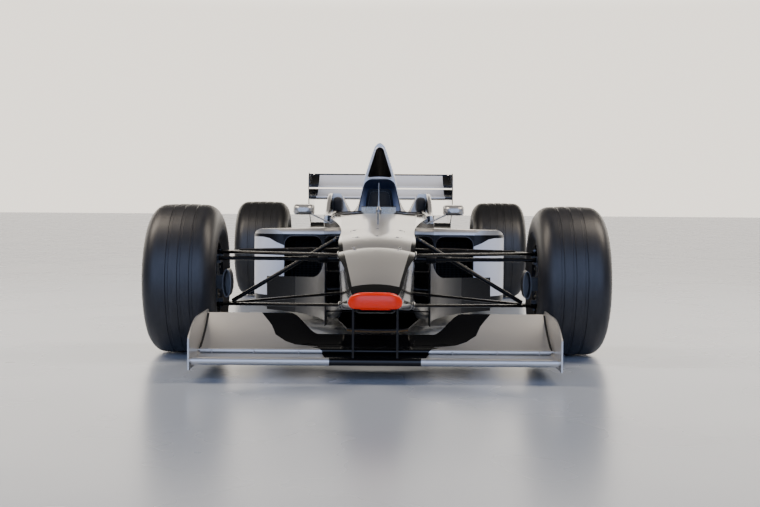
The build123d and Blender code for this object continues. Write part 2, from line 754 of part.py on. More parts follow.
# Stepped floor with the front tray and the diffuser
tray_half = 150.0
floor_half = pod_half
y_tray = y_front_axle + 440.0
y_step = y_pod - 60.0
y_floor_end = y_rear_axle - 340.0
diffuser_half = 470.0
diffuser_rise = 170.0
y_diffuser_end = y_rear_axle + 350.0
strake_xs = (160.0, 300.0, 464.0)
with BuildPart() as floor:
    with BuildSketch(Plane.XY.offset(z_reference)):
        with BuildLine():
            tray_nose = ThreePointArc((-tray_half, y_tray + 60.0), (0, y_tray), (tray_half, y_tray + 60.0))
            Polyline(
                tray_nose @ 1, (tray_half + 90.0, y_step), (tray_half + 90.0, y_floor_end),
                (-tray_half - 90.0, y_floor_end), (-tray_half - 90.0, y_step), tray_nose @ 0,
            )
        make_face()
    extrude(amount=skin)
    for side, _ in SIDES:
        with BuildSketch(Plane.XY.offset(z_floor_top - skin)):
            with BuildLine():
                Polyline(
                    (side * (tub_half + 2.0), y_step),
                    (side * (floor_half - 90.0), y_step),
                    (side * floor_half, y_step + 160.0),
                    (side * floor_half, y_floor_end - 130.0),
                    (side * (floor_half - 100.0), y_floor_end),
                    (side * (tub_half + 2.0), y_floor_end),
                    (side * (tub_half + 2.0), y_step),
                )
            make_face()
        extrude(amount=skin)
        block(
            tuple(sorted((side * (tub_half + 2.0), side * (tub_half + 8.0)))), (y_step, y_floor_end),
            (z_reference, z_floor_top),
        )
        block(
            tuple(sorted((side * (tray_half + 80.0), side * (tub_half + 8.0)))), (y_step, y_floor_end),
            (z_reference, z_reference + skin),
        )
    with BuildSketch(side_plane(-diffuser_half)):
        with BuildLine():
            ramp = Line((y_floor_end - 10.0, z_reference), (y_floor_end, z_reference))
            climb = ThreePointArc(
                ramp @ 1,
                ((y_floor_end + y_diffuser_end) / 2, z_reference + diffuser_rise * 0.38),
                (y_diffuser_end, z_reference + diffuser_rise),
            )
            up = Line(climb @ 1, (y_diffuser_end, z_reference + diffuser_rise + skin))
            back = ThreePointArc(
                up @ 1,
                ((y_floor_end + y_diffuser_end) / 2, z_reference + diffuser_rise * 0.38 + skin),
                (y_floor_end, z_reference + skin),
            )
            Polyline(back @ 1, (y_floor_end - 10.0, z_reference + skin), ramp @ 0)
        make_face()
    extrude(amount=2 * diffuser_half)
    for side, _ in SIDES:
        for strake_x in strake_xs:
            with BuildSketch(side_plane(side * strake_x)):
                with BuildLine():
                    roof = ThreePointArc(
                        (y_floor_end + 40.0, z_reference + 6.0),
                        ((y_floor_end + y_diffuser_end) / 2, z_reference + diffuser_rise * 0.38 + 2.0),
                        (y_diffuser_end, z_reference + diffuser_rise + 2.0),
                    )
                    Polyline(
                        roof @ 1, (y_diffuser_end, z_reference + 60.0), (y_diffuser_end - 120.0, z_reference),
                        (y_floor_end + 40.0, z_reference), roof @ 0,
                    )
                make_face()
            extrude(amount=2.5, both=True)
save(floor, "floor")

# Bargeboards: tall curved vanes between the front wheels and the sidepods, on stays from the tub
board_thickness = 5.0
y_board = y_front_axle + 350.0
board_front_half = 250.0
board_strut_zs = (150.0, 340.0)
board_strut_chord = 30.0
board_strut_thickness = 6.0
y_board_end = y_pod - 20.0
board_rear_half = 606.0
with BuildPart() as bargeboards:
    for side, _ in SIDES:
        with BuildSketch(Plane.XY.offset(82.0)):
            with BuildLine():
                run = ThreePointArc(
                    (side * board_front_half, y_board),
                    (side * (board_front_half + 82.0), y_board + 470.0),
                    (side * board_rear_half, y_board_end),
                )
                offset(run, amount=board_thickness / 2, side=Side.BOTH)
            make_face()
        extrude(amount=318.0)
    with BuildSketch(side_plane(-pod_half)):
        with BuildLine():
            shoulder = ThreePointArc(
                (y_board + 240.0, 401.0), (y_board + 330.0, 330.0), (y_board + 470.0, 282.0)
            )
            Polyline(
                shoulder @ 1, (y_board_end + 20.0, 262.0), (y_board_end + 20.0, 410.0),
                (y_board + 240.0, 410.0), shoulder @ 0,
            )
        make_face()
    extrude(amount=2 * pod_half, mode=Mode.SUBTRACT)
    for side, _ in SIDES:
        for z in board_strut_zs:
            bar(
                (side * 60.0, y_board + 30.0, z), (side * (board_front_half + 3.0), y_board + 30.0, z),
                board_strut_chord, board_strut_thickness,
            )
    add(tub_outer.part, mode=Mode.SUBTRACT)
    add(floor.part, mode=Mode.SUBTRACT)
save(bargeboards, "bargeboards")

with BuildPart() as plank:
    with BuildSketch(Plane.XY.offset(z_plank)):
        with BuildLine():
            bow = ThreePointArc((-tray_half, y_tray + 70.0), (0, y_tray + 14.0), (tray_half, y_tray + 70.0))
            Polyline(
                bow @ 1, (tray_half, y_floor_end - 12.0), (-tray_half, y_floor_end - 12.0), bow @ 0,
            )
        make_face()
    extrude(amount=plank_thickness)
save(plank, "plank")

# Engine, gearbox and rear impact structure
with BuildPart() as engine:
    block((-engine_half, engine_half), (y_tub_end, y_engine_end), (z_tub_base, z_engine_top))
save(engine, "engine")

# columns: place along the car, half width, base z, top z
GEARBOX_STATIONS = (
    (y_engine_end, gearbox_front_half, 90.0, 400.0),
    (y_rear_axle - 200.0, 128.0, z_gearbox_base + 20.0, 386.0),
    (y_gearbox_end, gearbox_rear_half, 230.0, 372.0),
)
with BuildPart() as gearbox:
    for y, half, z_base, z_top in GEARBOX_STATIONS:
        with BuildSketch(cross_plane(y)):
            with Locations((0, (z_base + z_top) / 2)):
                RectangleRounded(2 * half, z_top - z_base, 30.0)
    loft(ruled=True)
    with BuildSketch(side_plane(-150.0)):
        with Locations((y_rear_axle, tyre_radius)):
            Circle(52.0)
    extrude(amount=300.0)
save(gearbox, "gearbox")

# Rear wing: main plane, flap, beam wing and endplates
# columns: leading edge (place along the car, z), trailing edge (place along the car, z), belly, sag, nose
REAR_MAIN_SECTION = ((y_rear_axle - 20.0, 692.0), (y_rear_axle + 232.0, 752.0), 40.0, 16.0, 8.0)
REAR_FLAP_SECTION = (
    (y_rear_axle + 214.0, 766.0), (y_rear_axle + 420.0, z_rear_wing_top - 4.0), 30.0, 16.0, 5.0,
)
BEAM_SECTION = ((y_rear_axle + 200.0, 468.0), (y_rear_axle + 390.0, 508.0), 26.0, 8.0, 6.0)
rear_inner_half = rear_wing_span / 2 - plate
with BuildPart() as rear_wing_main:
    extrude(wing_section(0, *REAR_MAIN_SECTION), amount=rear_inner_half, both=True)
save(rear_wing_main, "rear_wing_main")

with BuildPart() as rear_wing_flap:
    extrude(wing_section(0, *REAR_FLAP_SECTION), amount=rear_inner_half, both=True)
save(rear_wing_flap, "rear_wing_flap")

with BuildPart() as rear_beam_wing:
    extrude(wing_section(0, *BEAM_SECTION), amount=rear_inner_half, both=True)
save(rear_beam_wing, "rear_beam_wing")

with BuildPart() as rear_wing_endplates:
    for side, _ in SIDES:
        with BuildSketch(side_plane(side * (rear_inner_half + plate / 2))):
            with BuildLine():
                brow = ThreePointArc(
                    (y_rear_endplate + 60.0, z_rear_wing_top),
                    (y_rear_endplate + 14.0, z_rear_wing_top - 30.0),
                    (y_rear_endplate, z_rear_wing_top - 90.0),
                )
                Polyline(
                    brow @ 1,
                    (y_rear_endplate + 30.0, 600.0),
                    (y_rear_axle + 90.0, 520.0),
                    (y_rear_axle + 150.0, 330.0),
                    (y_tail, 330.0),
                    (y_tail, z_rear_wing_top),
                    brow @ 0,
                )
            make_face()
        extrude(amount=plate / 2, both=True)
save(rear_wing_endplates, "rear_wing_endplates")

with BuildPart() as rear_impact_structure:
    for y, half, z_base, z_top in (
        (y_gearbox_end, gearbox_rear_half - 10.0, 240.0, 364.0),
        (y_tail - 60.0, 52.0, 300.0, 392.0),
    ):
        with BuildSketch(cross_plane(y)):
            with Locations((0, (z_base + z_top) / 2)):
                RectangleRounded(2 * half, z_top - z_base, 20.0)
    loft()
    for side, _ in SIDES:
        with BuildSketch(side_plane(side * 44.0)):
            with BuildLine():
                Polyline(
                    (y_rear_axle + 210.0, 340.0), (y_rear_axle + 370.0, 340.0),
                    (y_rear_axle + 350.0, 500.0), (y_rear_axle + 240.0, 500.0),
                    (y_rear_axle + 210.0, 340.0),
                )
            make_face()
        extrude(amount=5.0, both=True)
    add(rear_beam_wing.part, mode=Mode.SUBTRACT)
    impact_solid = solids().sort_by(SortBy.VOLUME)[-1]
    add(impact_solid, mode=Mode.INTERSECT)
save(rear_impact_structure, "rear_impact_structure")

with BuildPart() as rain_light:
    with BuildSketch(cross_plane(y_tail - 60.0)):
        with Locations((0, 346.0)):
            RectangleRounded(76.0, 66.0, 10.0)
    extrude(amount=-28.0)
save(rain_light, "rain_light")

# Mirrors on stalks from the tub's shoulders
# columns: place along the car, half width, half height, corner radius
MIRROR_STATIONS = (
    (y_dash - 84.0, 24.0, 10.0, 9.0),
    (y_dash - 70.0, 42.0, 19.0, 14.0),
    (y_dash - 40.0, 52.0, 26.0, 16.0),
    (y_dash + 10.0, 54.0, 28.0, 14.0),
)
mirror_x = 387.0
z_mirror = 630.0
stalk_chord = 30.0
stalk_thickness = 9.0
with BuildPart() as mirrors:
    for side, _ in SIDES:
        for y, half_width, half_height, corner in MIRROR_STATIONS:
            with BuildSketch(cross_plane(y)):
                with Locations((side * mirror_x, z_mirror)):
                    RectangleRounded(2 * half_width, 2 * half_height, corner)
        loft()
        bar(
            (side * (mirror_x - 34.0), y_dash - 30.0, z_mirror - 20.0), (side * 205.0, y_dash - 50.0, 540.0),
            stalk_chord, stalk_thickness,
        )
    add(tub_outer.part, mode=Mode.SUBTRACT)
save(mirrors, "mirrors")

# Front suspension. Inner ends are cut to the tub's side
# columns: inner half width, place along the car, z
UPPER_INNER = ((120.0, y_front_axle - 236.0, z_upper_arm), (120.0, y_front_axle + 262.0, z_upper_arm + 4.0))
LOWER_INNER = ((90.0, y_front_axle - 250.0, 236.0), (120.0, y_front_axle + 285.0, 250.0))


def wishbone(side, x_outer, y_outer, z_outer, inner_ends):
    """Add the two arms of one wishbone to the current part."""
    for x_inner, y_inner, z_inner in inner_ends:
        bar((side * x_outer, y_outer, z_outer), (side * x_inner, y_inner, z_inner), arm_chord, arm_thickness)


for name, z_arm, inner_ends in (
    ("front_upper_wishbones", z_upper_arm, UPPER_INNER),
    ("front_lower_wishbones", z_lower_arm, LOWER_INNER),
):
    with BuildPart() as wishbones:
        for side, _ in SIDES:
            wishbone(side, x_kingpin, y_front_axle, z_arm, inner_ends)
            upright_pin(
                side * x_kingpin, y_front_axle, z_arm - eye_height / 2, z_arm + eye_height / 2, eye_radius
            )
        for side, _ in SIDES:
            with BuildSketch(Plane.XY.offset(z_arm - eye_height)):
                with Locations((side * x_kingpin, y_front_axle)):
                    Circle(pin_radius + seat_gap)
            extrude(amount=2 * eye_height, mode=Mode.SUBTRACT)
        add(tub_outer.part, mode=Mode.SUBTRACT)
    save(wishbones, name)
    if name == "front_lower_wishbones":
        lower_wishbones = wishbones

# Pushrods, each with a clevis on the tub's side
x_pushrod_top = 178.0
z_pushrod_top = 509.0
clevis_half = 10.0
with BuildPart() as front_pushrods:
    for side, _ in SIDES:
        bar(
            (side * (x_kingpin - 56.0), y_front_axle, z_lower_arm + 14.0),
            (side * x_pushrod_top, y_front_axle, z_pushrod_top), pushrod_chord, pushrod_thickness,
        )
        block(
            tuple(sorted((side * (x_pushrod_top - 30.0), side * (x_pushrod_top + 8.0)))),
            (y_front_axle - clevis_half, y_front_axle + clevis_half),
            (z_pushrod_top - clevis_half, z_pushrod_top + clevis_half),
        )
    add(tub_outer.part, mode=Mode.SUBTRACT)
    add(lower_wishbones.part, mode=Mode.SUBTRACT)
save(front_pushrods, "front_pushrods")

# Rack and track rods, one bar that slides across the car
track_eye_y = y_front_axle - steering_arm
with BuildPart() as track_rods:
    rod((-tub_half, track_eye_y, z_track_rod), (tub_half, track_eye_y, z_track_rod), rack_radius)
    for side, _ in SIDES:
        bar(
            (side * 230.0, track_eye_y, z_track_rod), (side * (x_kingpin - 12.0), track_eye_y, z_track_rod),
            track_rod_chord, track_rod_thickness,
        )
        upright_pin(
            side * x_kingpin, track_eye_y, z_track_rod - eye_height / 2, z_track_rod + eye_height / 2,
            eye_radius,
        )
    for side, _ in SIDES:
        with BuildSketch(Plane.XY.offset(z_track_rod - eye_height)):
            with Locations((side * x_kingpin, track_eye_y + pin_arc / 2)):
                Circle(pin_radius + track_rod_slack)
        extrude(amount=2 * eye_height, mode=Mode.SUBTRACT)
save(track_rods, "track_rods")

# Front uprights, each with its hub bore, steering arm, caliper and brake duct
for side, side_name in SIDES:
    x_low, x_high = upright_inner, upright_inner + upright_thickness
    x_disc = x_front_wheel - 87.0
    with BuildPart() as upright:
        block(
            tuple(sorted((side * x_low, side * x_high))),
            (y_front_axle - upright_half, y_front_axle + upright_half),
            (z_lower_arm + eye_height / 2 + seat_gap, z_upper_arm - eye_height / 2 - seat_gap),
        )
        for z_face, z_tip in (
            (z_upper_arm - eye_height / 2 - seat_gap, z_upper_arm + eye_height / 2 + 6.0),
            (z_lower_arm + eye_height / 2 + seat_gap, z_lower_arm - eye_height / 2 - 6.0),
        ):
            inward = -1 if z_tip > z_face else 1
            z_lug = sorted((z_face, z_face + inward * 16.0))
            block(
                tuple(sorted((side * (x_kingpin - eye_radius), side * x_high))),
                (y_front_axle - eye_radius, y_front_axle + eye_radius), tuple(z_lug),
            )
            upright_pin(side * x_kingpin, y_front_axle, min(z_face, z_tip), max(z_face, z_tip), pin_radius)
        # steering arm
        z_arm_top = z_track_rod - eye_height / 2 - seat_gap
        block(
            tuple(sorted((side * (x_kingpin - eye_radius), side * x_high))),
            (track_eye_y - eye_radius, y_front_axle - upright_half + 1.0), (z_arm_top - 11.0, z_arm_top),
        )
        upright_pin(side * x_kingpin, track_eye_y, z_arm_top, z_track_rod + eye_height / 2 + 5.0, pin_radius)
        # hub barrel
        with BuildSketch(side_plane(side * x_low)):
            with Locations((y_front_axle, tyre_radius)):
                Circle(46.0)
        extrude(amount=side * (upright_thickness + 6.0))
        # caliper behind the axle, round the disc's edge
        with BuildSketch(side_plane(side * (x_disc - caliper_gap - caliper_cheek))):
            with Locations((y_front_axle, tyre_radius)):
                Circle(caliper_radius)
                Circle(caliper_inner_radius, mode=Mode.SUBTRACT)
            with Locations((y_front_axle - caliper_radius + 60.0, tyre_radius)):
                Rectangle(2 * caliper_radius, 3 * caliper_radius, mode=Mode.SUBTRACT)
        extrude(amount=side * (disc_thickness + 2 * caliper_gap + 2 * caliper_cheek))
        with BuildSketch(side_plane(side * (x_disc - caliper_gap))):
            with Locations((y_front_axle, tyre_radius)):
                Circle(disc_radius + 3.0)
        extrude(amount=side * (disc_thickness + 2 * caliper_gap), mode=Mode.SUBTRACT)
        block(
            tuple(sorted((side * (x_disc - caliper_gap - caliper_cheek), side * x_high))),
            (y_front_axle + upright_half - 1.0, y_front_axle + 120.0),
            (tyre_radius - 30.0, tyre_radius + 30.0),
        )
        # brake duct
        x_duct = x_kingpin - duct_offset
        for y, wall, length, mode in (
            (y_front_axle - 45.0, 0.0, 95.0, Mode.ADD), (y_front_axle - 70.0, duct_wall, 80.0, Mode.SUBTRACT)
        ):
            with BuildSketch(cross_plane(y)):
                with Locations((side * x_duct, z_duct)):
                    Ellipse(duct_width / 2 - wall, duct_height / 2 - wall)
            extrude(amount=length, mode=mode)
        block(
            tuple(sorted((side * x_duct, side * (x_low + 6.0)))),
            (y_front_axle - 70.0, y_front_axle - upright_half + 1.0), (z_duct - 30.0, z_duct + 30.0),
        )
        # bore for the stub axle
        with BuildSketch(side_plane(side * (x_low - 40.0))):
            with Locations((y_front_axle, tyre_radius)):
                Circle(axle_radius + seat_gap)
        extrude(amount=side * 90.0, mode=Mode.SUBTRACT)
    save(upright, f"front_upright_{side_name}")

# Rear uprights, with calipers ahead of the axle
rear_upright_inner = 690.0
rear_upright_thickness = 44.0
with BuildPart() as rear_uprights:
    for side, _ in SIDES:
        x_low, x_high = rear_upright_inner, rear_upright_inner + rear_upright_thickness
        x_disc = x_rear_wheel - 72.0
        block(
            tuple(sorted((side * x_low, side * x_high))), (y_rear_axle - 38.0, y_rear_axle + 38.0),
            (204.0, 458.0),
        )
        with BuildSketch(side_plane(side * (x_disc - caliper_gap - caliper_cheek))):
            with Locations((y_rear_axle, tyre_radius)):
                Circle(caliper_radius)
                Circle(caliper_inner_radius, mode=Mode.SUBTRACT)
            with Locations((y_rear_axle + caliper_radius - 60.0, tyre_radius)):
                Rectangle(2 * caliper_radius, 3 * caliper_radius, mode=Mode.SUBTRACT)
        extrude(amount=side * (disc_thickness + 2 * caliper_gap + 2 * caliper_cheek))
        with BuildSketch(side_plane(side * (x_disc - caliper_gap))):
            with Locations((y_rear_axle, tyre_radius)):
                Circle(disc_radius + 3.0)
        extrude(amount=side * (disc_thickness + 2 * caliper_gap), mode=Mode.SUBTRACT)
        block(
            tuple(sorted((side * (x_disc - caliper_gap - caliper_cheek), side * x_high))),
            (y_rear_axle - 120.0, y_rear_axle - 37.0), (tyre_radius - 30.0, tyre_radius + 30.0),
        )
        with BuildSketch(side_plane(side * (x_low - 10.0))):
            with Locations((y_rear_axle, tyre_radius)):
                Circle(axle_radius + seat_gap)
        extrude(amount=side * 90.0, mode=Mode.SUBTRACT)
save(rear_uprights, "rear_uprights")

# Rear suspension, cut to the gearbox and the uprights
for name, z_outer, z_inner in (
    ("rear_upper_wishbones", 436.0, 350.0),
    ("rear_lower_wishbones", 226.0, 262.0),
):
    with BuildPart() as arms:
        for side, _ in SIDES:
            wishbone(
                side, rear_upright_inner - 24.0, y_rear_axle, z_outer,
                ((60.0, y_rear_axle - 330.0, z_inner), (50.0, y_rear_axle + 120.0, z_inner)),
            )
            lug_x = sorted((side * (rear_upright_inner - 40.0), side * rear_upright_inner))
            block(lug_x, (y_rear_axle - 26.0, y_rear_axle + 26.0), (z_outer - 12.0, z_outer + 12.0))
        add(gearbox.part, mode=Mode.SUBTRACT)
    save(arms, name)

with BuildPart() as rear_pushrods:
    for side, _ in SIDES:
        bar(
            (side * (rear_upright_inner + 4.0), y_rear_axle - 22.0, 272.0),
            (side * 80.0, y_rear_axle - 130.0, 366.0), pushrod_chord, pushrod_thickness,
        )
        block(
            sorted((side * rear_upright_inner, side * (rear_upright_inner + 40.0))),
            (y_rear_axle - 60.0, y_rear_axle + 20.0), (220.0, 320.0), Mode.SUBTRACT,
        )
    add(gearbox.part, mode=Mode.SUBTRACT)
save(rear_pushrods, "rear_pushrods")


def wheel_frame(side, x, y):
    """Plane through a wheel's centre whose own axes are outward and up, and the axle as an Axis."""
    centre = (side * x, y, tyre_radius)
    return Plane(origin=centre, x_dir=(side, 0, 0), z_dir=(0, -side, 0)), Axis(centre, (side, 0, 0))


def make_tyre(side, x, y, width, rim_half, name):
    """Build one tyre: a hollow carcass with rounded shoulders and its beads on the rim's seats."""
    profile_plane, axle = wheel_frame(side, x, y)
    half, bead = width / 2, rim_half - rim_flange
    tread = half - 72.0
    with BuildPart() as tyre:
        with BuildSketch(profile_plane):
            with BuildLine():
                crown = ThreePointArc(
                    (-tread, tyre_radius - 3.0), (0, tyre_radius), (tread, tyre_radius - 3.0)
                )
                for way in (LEFT, RIGHT):
                    shoulder = ThreePointArc(
                        (way * tread, tyre_radius - 3.0),
                        (way * (half - 24.0), tyre_radius - 28.0),
                        (way * (half - 4.0), tyre_radius - 72.0),
                    )
                    wall = ThreePointArc(
                        shoulder @ 1, (way * half, tyre_radius - 96.0), (way * bead, rim_flange_radius + 6.0)
                    )
                    Polyline(
                        wall @ 1, (way * bead, rim_seat_radius), (way * (bead - bead_width), rim_seat_radius),
                        (way * (bead - bead_width), rim_flange_radius + 6.0),
                    )
                    inner_wall = ThreePointArc(
                        (way * (bead - bead_width), rim_flange_radius + 6.0),
                        (way * (half - tyre_wall), tyre_radius - 98.0),
                        (way * (half - tyre_wall - 14.0), tyre_radius - 66.0),
                    )
                    ThreePointArc(
                        inner_wall @ 1,
                        (way * (half - tyre_wall - 34.0), tyre_radius - 36.0),
                        (way * (tread - 8.0), tyre_radius - tyre_wall - 4.0),
                    )
                ThreePointArc(
                    (-(tread - 8.0), tyre_radius - tyre_wall - 4.0),
                    (0, tyre_radius - tyre_wall),
                    (tread - 8.0, tyre_radius - tyre_wall - 4.0),
                )
            make_face()
        revolve(axis=axle)
    save(tyre, name)


def make_wheel(side, x, y, rim_half, disc_offset, hub_inner, name):
    """Build one road wheel: barrel, spokes, hub, nut, stub axle and brake disc."""
    profile_plane, axle = wheel_frame(side, x, y)
    face_plane = Plane(origin=(side * x, y, tyre_radius), x_dir=(0, 1, 0), z_dir=(side, 0, 0))
    with BuildPart() as wheel:
        with BuildSketch(profile_plane):
            with BuildLine():
                Polyline(
                    (-rim_half, rim_flange_radius),
                    (-rim_half, rim_bore_radius + 4.0),
                    (-rim_half + 40.0, rim_bore_radius),
                    (rim_half - 40.0, rim_bore_radius),
                    (rim_half, rim_bore_radius + 4.0),
                    (rim_half, rim_flange_radius),
                    (rim_half - rim_flange, rim_flange_radius),
                    (rim_half - rim_flange, rim_seat_radius),
                    (rim_half - rim_flange - 40.0, rim_seat_radius),
                    (rim_half - rim_flange - 52.0, rim_bore_radius + 6.0),
                    (-rim_half + rim_flange + 52.0, rim_bore_radius + 6.0),
                    (-rim_half + rim_flange + 40.0, rim_seat_radius),
                    (-rim_half + rim_flange, rim_seat_radius),
                    (-rim_half + rim_flange, rim_flange_radius),
                    (-rim_half, rim_flange_radius),
                )
            make_face()
        revolve(axis=axle)
        with BuildSketch(face_plane.offset(spoke_offset)):
            Circle(rim_bore_radius + 2.0)
        extrude(amount=spoke_thickness)
        with BuildSketch(face_plane.offset(spoke_offset - 1.0)):
            Circle(rim_bore_radius - 4.0)
            Circle(hub_radius, mode=Mode.SUBTRACT)
            with PolarLocations(0, spoke_count):
                with Locations((rim_bore_radius / 2, 0)):
                    Rectangle(rim_bore_radius, spoke_width, mode=Mode.SUBTRACT)
            fillet(vertices(), 7.0)
        extrude(amount=spoke_thickness + 2.0, mode=Mode.SUBTRACT)
        with BuildSketch(profile_plane):
            with BuildLine():
                Polyline(
                    (hub_inner, 0),
                    (hub_inner, axle_radius),
                    (disc_offset - 2.0, axle_radius),
                    (disc_offset - 2.0, axle_radius + 18.0),
                    (disc_offset + disc_thickness + 2.0, axle_radius + 18.0),
                    (spoke_offset + 4.0, hub_radius),
                    (spoke_offset + spoke_thickness + 8.0, hub_radius - 8.0),
                    (spoke_offset + spoke_thickness + 8.0, wheel_nut_radius),
                    (spoke_offset + spoke_thickness + 8.0 + wheel_nut_length, wheel_nut_radius - 6.0),
                    (spoke_offset + spoke_thickness + 8.0 + wheel_nut_length, 0),
                    (hub_inner, 0),
                )
            make_face()
            with BuildLine():
                Polyline(
                    (disc_offset, disc_bell_radius),
                    (disc_offset, disc_radius),
                    (disc_offset + disc_thickness, disc_radius),
                    (disc_offset + disc_thickness, disc_bell_radius),
                    (disc_offset + disc_thickness - 8.0, axle_radius + 10.0),
                    (disc_offset + disc_thickness - 16.0, axle_radius + 10.0),
                    (disc_offset, disc_bell_radius),
                )
            make_face()
        revolve(axis=axle)
        if y == y_rear_axle:
            with BuildSketch(profile_plane):
                gearbox_face = 150.0 + seat_gap - x
                with BuildLine():
                    Polyline(
                        (gearbox_face, 0), (gearbox_face, 40.0), (gearbox_face + 42.0, 34.0),
                        (gearbox_face + 58.0, 17.0), (hub_inner - 46.0, 17.0), (hub_inner - 34.0, 36.0),
                        (hub_inner, 40.0), (hub_inner, 0), (gearbox_face, 0),
                    )
                make_face()
            revolve(axis=axle)
    save(wheel, name)


for side, side_name in SIDES:
    make_tyre(side, x_front_wheel, y_front_axle, front_tyre_width, front_rim_half, f"front_tyre_{side_name}")
    make_tyre(side, x_rear_wheel, y_rear_axle, rear_tyre_width, rear_rim_half, f"rear_tyre_{side_name}")
    make_wheel(side, x_front_wheel, y_front_axle, front_rim_half, -87.0, -135.0, f"front_wheel_{side_name}")
    make_wheel(side, x_rear_wheel, y_rear_axle, rear_rim_half, -72.0, -134.0, f"rear_wheel_{side_name}")
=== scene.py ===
"""Dresses a full-size open wheel racing car and stands it in a plain studio.

Everything is in metres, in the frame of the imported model: X to the driver's left, Y from nose to tail, Z up.
"""
import math

import bpy
from bpy.props import FloatProperty, FloatVectorProperty, IntProperty, PointerProperty
from mathutils import Matrix, Vector
from mathutils.bvhtree import BVHTree


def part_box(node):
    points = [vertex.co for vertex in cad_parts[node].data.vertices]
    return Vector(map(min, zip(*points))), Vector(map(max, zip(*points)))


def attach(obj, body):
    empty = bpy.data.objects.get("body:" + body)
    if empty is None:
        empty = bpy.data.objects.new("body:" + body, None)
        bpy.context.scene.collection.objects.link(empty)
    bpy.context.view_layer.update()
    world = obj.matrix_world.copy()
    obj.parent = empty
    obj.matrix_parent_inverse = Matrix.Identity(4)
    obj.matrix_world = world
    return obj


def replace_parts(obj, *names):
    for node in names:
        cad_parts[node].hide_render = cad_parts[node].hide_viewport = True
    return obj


bl_info = {
    "name": "Open Wheel Racing Car",
    "version": (1, 0, 0),
    "blender": (4, 5, 0),
    "location": "View3D > Sidebar > Racing Car",
    "description": "Paint, tyres, cockpit and running gear for a full-size open wheel racing car",
    "category": "Object",
}

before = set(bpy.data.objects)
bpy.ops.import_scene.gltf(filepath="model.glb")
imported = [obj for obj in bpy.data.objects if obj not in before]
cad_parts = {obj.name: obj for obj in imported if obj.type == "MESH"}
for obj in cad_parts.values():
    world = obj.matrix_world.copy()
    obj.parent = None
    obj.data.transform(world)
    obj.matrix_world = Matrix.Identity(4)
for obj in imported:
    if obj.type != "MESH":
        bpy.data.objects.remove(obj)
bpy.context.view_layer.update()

MM = 0.001
LEFT, RIGHT = 1, -1
SIDES = ((LEFT, "left"), (RIGHT, "right"))

def middle(node):
    """The middle of a node's box."""
    low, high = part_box(node)
    return (Vector(low) + Vector(high)) / 2


nose_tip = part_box("nose_cone")[0][1]
front_axle = middle("front_tyre_left").y
rear_axle = middle("rear_tyre_left").y
wheel_height = middle("front_tyre_left").z


# Nodes and colours

def linear(hex_colour):
    """Turn an sRGB hex colour such as "#a8b0b8" into the linear RGBA that shaders use."""
    channels = [int(hex_colour[i:i + 2], 16) / 255 for i in (1, 3, 5)]
    return (*((c / 12.92 if c <= 0.04045 else ((c + 0.055) / 1.055) ** 2.4) for c in channels), 1.0)


def add_node(tree, kind, inputs=None, **settings):
    """Add one node with its settings. Each input gets a value, or a link from the socket given for it."""
    node = tree.nodes.new(kind)
    for name, value in settings.items():
        setattr(node, name, value)
    for name, value in (inputs or {}).items():
        if isinstance(value, bpy.types.NodeSocket):
            tree.links.new(value, node.inputs[name])
        else:
            node.inputs[name].default_value = value
    return node


BLACK = linear("#0a0a0c")
MATT_BLACK = linear("#050506")


